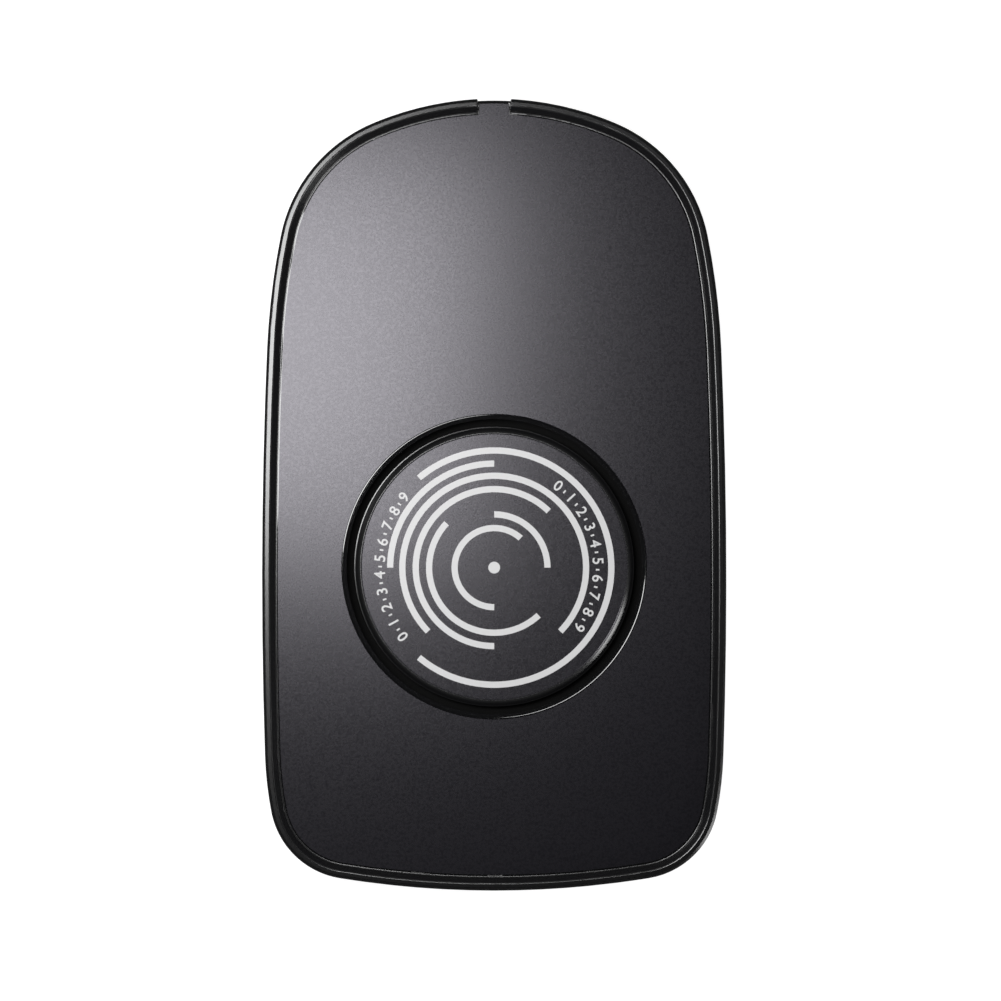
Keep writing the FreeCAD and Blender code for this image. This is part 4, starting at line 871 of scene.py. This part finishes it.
def chamfer_of_deck(name):
    """A copy of the faces of the chamfer round the deck's outside."""
    duplicate(NODES["deck_panel"])
    piece = settle(name)
    bpy.ops.object.mode_set(mode="EDIT")
    tidy_mesh()
    bpy.ops.mesh.select_mode(type="FACE")
    bpy.ops.object.mode_set(mode="OBJECT")
    for face in piece.data.polygons:
        slopes = CHAMFER_LEAST < face.normal.z < CHAMFER_MOST
        outside = (face.center - DIAL_CENTRE).to_2d().length > BETWEEN_CHAMFERS
        face.select = not (slopes and outside)
    bpy.ops.object.mode_set(mode="EDIT")
    bpy.ops.mesh.delete(type="FACE")
    bpy.ops.object.mode_set(mode="OBJECT")
    return piece


class JIGGLER_OT_hole_trim(Operator):
    """Lays a polished bead round the deck's hole and a ring on the lip inside it"""

    bl_idname = "jiggler.hole_trim"
    bl_label = "Trim the deck's hole"

    def execute(self, context):
        trim = context.scene.jiggler_trim
        bead_height = DECK_TOP + trim.bead_rise - trim.bead_radius
        deselect()
        bpy.ops.mesh.primitive_circle_add(
            vertices=BEAD_SIDES,
            radius=trim.bead_radius,
            location=(DIAL_CENTRE.x + trim.bead_place, DIAL_CENTRE.y, bead_height),
            rotation=(math.pi / 2, 0, 0),
        )
        finish_trim(spin_round("hole_bead"))
        lip_height = DECK_TOP - trim.lip_drop - trim.lip_depth / 2
        lip_middle = (trim.lip_inner + trim.lip_outer) / 2
        deselect()
        bpy.ops.mesh.primitive_plane_add(
            size=1,
            location=(DIAL_CENTRE.x + lip_middle, DIAL_CENTRE.y, lip_height),
            rotation=(math.pi / 2, -trim.lip_tilt, 0),
        )
        context.object.scale = (trim.lip_outer - trim.lip_inner, trim.lip_depth, 1)
        bpy.ops.object.mode_set(mode="EDIT")
        bpy.ops.mesh.select_all(action="SELECT")
        bpy.ops.mesh.delete(type="ONLY_FACE")
        bpy.ops.object.mode_set(mode="OBJECT")
        finish_trim(spin_round("lip_ring"))
        return {"FINISHED"}


def spin_round(name):
    """Spins the active outline a whole turn about the dial's axis, into a closed ring."""
    piece = settle(name)
    centre = (DIAL_CENTRE.x, DIAL_CENTRE.y, 0)
    bpy.ops.object.mode_set(mode="EDIT")
    bpy.ops.mesh.select_all(action="SELECT")
    bpy.ops.mesh.spin(steps=RING_STEPS, angle=-math.tau, center=centre, axis=(0, 0, 1))
    tidy_mesh()
    bpy.ops.object.mode_set(mode="OBJECT")
    bpy.ops.object.shade_smooth_by_angle(angle=RING_SMOOTH)
    return piece


def finish_trim(piece):
    """Gives a piece of trim its mirror polish, and fixes it to the case."""
    finish = bpy.context.scene.jiggler_finish
    polish = bpy.data.materials.get("trim_polish")
    coat(piece, polish or gloss_plastic("trim_polish", finish, finish.trim_roughness))
    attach(piece, "case")


# ---------------------------------------------------------------- stage


class JIGGLER_OT_stage(Operator):
    """Sets up the camera, lamps, room and floor"""

    bl_idname = "jiggler.stage"
    bl_label = "Set the stage"

    def execute(self, context):
        stage = context.scene.jiggler_stage
        context.scene.view_settings.view_transform = "Standard"
        add_camera(stage)
        add_softbox(stage)
        add_strip(stage)
        add_room(stage)
        add_floor(stage)
        return {"FINISHED"}


def add_camera(stage):
    """A camera that looks straight down at the deck."""
    sensor = 36.0
    data = bpy.data.cameras.new("camera")
    data.sensor_width = sensor
    data.lens = sensor * stage.camera_height / stage.view_width
    data.clip_start = 0.01
    data.clip_end = 100.0
    camera = bpy.data.objects.new("camera", data)
    camera.location = (stage.camera_x, stage.camera_y, DECK_TOP + stage.camera_height)
    bpy.context.scene.collection.objects.link(camera)
    bpy.context.scene.camera = camera


def add_lamp(name, long, short, brightness, place, rotation):
    """A rectangular area light of a given radiance, which the camera doesn't see."""
    data = bpy.data.lights.new(name, "AREA")
    data.shape = "RECTANGLE"
    data.size = long
    data.size_y = short
    data.energy = brightness * math.pi * long * short
    lamp = bpy.data.objects.new(name, data)
    lamp.location = place
    lamp.rotation_euler = rotation
    lamp.visible_camera = False
    bpy.context.scene.collection.objects.link(lamp)


def add_softbox(stage):
    """A rectangular softbox above the deck and to its left."""
    place = (stage.softbox_x, stage.softbox_y, DECK_TOP + stage.softbox_height)
    rotation = (0, 0, stage.softbox_turn)
    add_lamp("softbox", stage.softbox_long, stage.softbox_short, stage.softbox_radiance, place, rotation)


def add_strip(stage):
    """A low light that stands upright beside the rear right corner and faces the object."""
    turn = stage.strip_turn
    middle = (stage.strip_low + stage.strip_high) / 2
    place = (stage.strip_distance * math.cos(turn), stage.strip_distance * math.sin(turn), middle)
    rotation = (math.pi / 2, 0, turn + math.pi / 2)
    height = stage.strip_high - stage.strip_low
    add_lamp("strip", stage.strip_width, height, stage.strip_radiance, place, rotation)


def combine(tree, operation, first, second):
    """The output of a new math node, fed by a socket and then by a socket or a number."""
    node = tree.nodes.new("ShaderNodeMath")
    node.operation = operation
    tree.links.new(first, node.inputs[0])
    if isinstance(second, bpy.types.NodeSocket):
        tree.links.new(second, node.inputs[1])
    else:
        node.inputs[1].default_value = second
    return node.outputs[0]


def add_room(stage):
    """White walls to look at and to be mirrored, under a dark ceiling."""
    world = bpy.data.worlds.new("room")
    world.use_nodes = True
    bpy.context.scene.world = world
    tree = world.node_tree
    path = tree.nodes.new("ShaderNodeLightPath")
    direction = tree.nodes.new("ShaderNodeTexCoord")
    split = tree.nodes.new("ShaderNodeSeparateXYZ")
    tree.links.new(direction.outputs["Generated"], split.inputs[0])
    walls = tree.nodes.new("ShaderNodeMapRange")
    walls.interpolation_type = "SMOOTHSTEP"
    walls.inputs["From Min"].default_value = stage.wall_top
    walls.inputs["From Max"].default_value = stage.ceiling_edge
    walls.inputs["To Min"].default_value = 1.0
    walls.inputs["To Max"].default_value = stage.ceiling
    tree.links.new(split.outputs["Z"], walls.inputs["Value"])
    mirrored = combine(tree, "MAXIMUM", path.outputs["Is Glossy Ray"], path.outputs["Is Transmission Ray"])
    matt = tree.nodes.new("ShaderNodeMix")
    matt.inputs["A"].default_value = stage.room
    tree.links.new(mirrored, matt.inputs["Factor"])
    tree.links.new(walls.outputs[0], matt.inputs["B"])
    seen = tree.nodes.new("ShaderNodeMix")
    seen.inputs["B"].default_value = 1.0
    tree.links.new(path.outputs["Is Camera Ray"], seen.inputs["Factor"])
    tree.links.new(matt.outputs["Result"], seen.inputs["A"])
    background = tree.nodes["Background"]
    background.inputs["Color"].default_value = (1.0, 1.0, 1.0, 1.0)
    tree.links.new(seen.outputs["Result"], background.inputs["Strength"])


def add_floor(stage):
    """A white floor that keeps the object's shadow."""
    deselect()
    bpy.ops.mesh.primitive_plane_add(size=stage.floor_size, location=(0, 0, -stage.floor_drop))
    floor = settle("floor")
    material = bpy.data.materials.new("floor_white")
    material.use_nodes = True
    tree = material.node_tree
    tree.nodes.clear()
    path = tree.nodes.new("ShaderNodeLightPath")
    seen = combine(tree, "MAXIMUM", path.outputs["Is Camera Ray"], path.outputs["Is Glossy Ray"])
    through = combine(tree, "MAXIMUM", seen, path.outputs["Is Transmission Ray"])
    glow = tree.nodes.new("ShaderNodeEmission")
    tree.links.new(combine(tree, "MULTIPLY", through, stage.floor_glow), glow.inputs["Strength"])
    matt = tree.nodes.new("ShaderNodeBsdfDiffuse")
    matt.inputs["Color"].default_value = (stage.floor_tone, stage.floor_tone, stage.floor_tone, 1.0)
    both = tree.nodes.new("ShaderNodeAddShader")
    tree.links.new(glow.outputs[0], both.inputs[0])
    tree.links.new(matt.outputs[0], both.inputs[1])
    output = tree.nodes.new("ShaderNodeOutputMaterial")
    tree.links.new(both.outputs[0], output.inputs["Surface"])
    floor.data.materials.append(material)


# ---------------------------------------------------------------- add-on


STEPS = (
    JIGGLER_OT_finishes,
    JIGGLER_OT_dial_arcs,
    JIGGLER_OT_dial_dot,
    JIGGLER_OT_dial_scales,
    JIGGLER_OT_small_fittings,
    JIGGLER_OT_inlet_contacts,
    JIGGLER_OT_deck_edge,
    JIGGLER_OT_hole_trim,
    JIGGLER_OT_stage,
)


class JIGGLER_PT_looks(Panel):
    """Lists the steps and the settings"""

    bl_idname = "JIGGLER_PT_looks"
    bl_label = "Mouse jiggler"
    bl_space_type = "VIEW_3D"
    bl_region_type = "UI"
    bl_category = "Jiggler"

    def draw(self, context):
        for step in STEPS:
            self.layout.operator(step.bl_idname)
        for name, group in SETTINGS.items():
            box = self.layout.box()
            for key in group.__annotations__:
                box.prop(getattr(context.scene, name), key)


CLASSES = (*SETTINGS.values(), *STEPS, JIGGLER_PT_looks)


def register():
    """Registers the settings, the steps and the panel."""
    for group in CLASSES:
        bpy.utils.register_class(group)
    for name, group in SETTINGS.items():
        setattr(bpy.types.Scene, name, PointerProperty(type=group))


def unregister():
    """Takes the settings, the steps and the panel away again."""
    for name in SETTINGS:
        delattr(bpy.types.Scene, name)
    for group in reversed(CLASSES):
        bpy.utils.unregister_class(group)


def main():
    """Runs every step in order."""
    register()
    bpy.ops.jiggler.finishes()
    bpy.ops.jiggler.dial_arcs()
    bpy.ops.jiggler.dial_dot()
    bpy.ops.jiggler.dial_scales()
    bpy.ops.jiggler.small_fittings()
    bpy.ops.jiggler.inlet_contacts()
    bpy.ops.jiggler.deck_edge()
    bpy.ops.jiggler.hole_trim()
    bpy.ops.jiggler.stage()


if __name__ == "__main__":
    main()
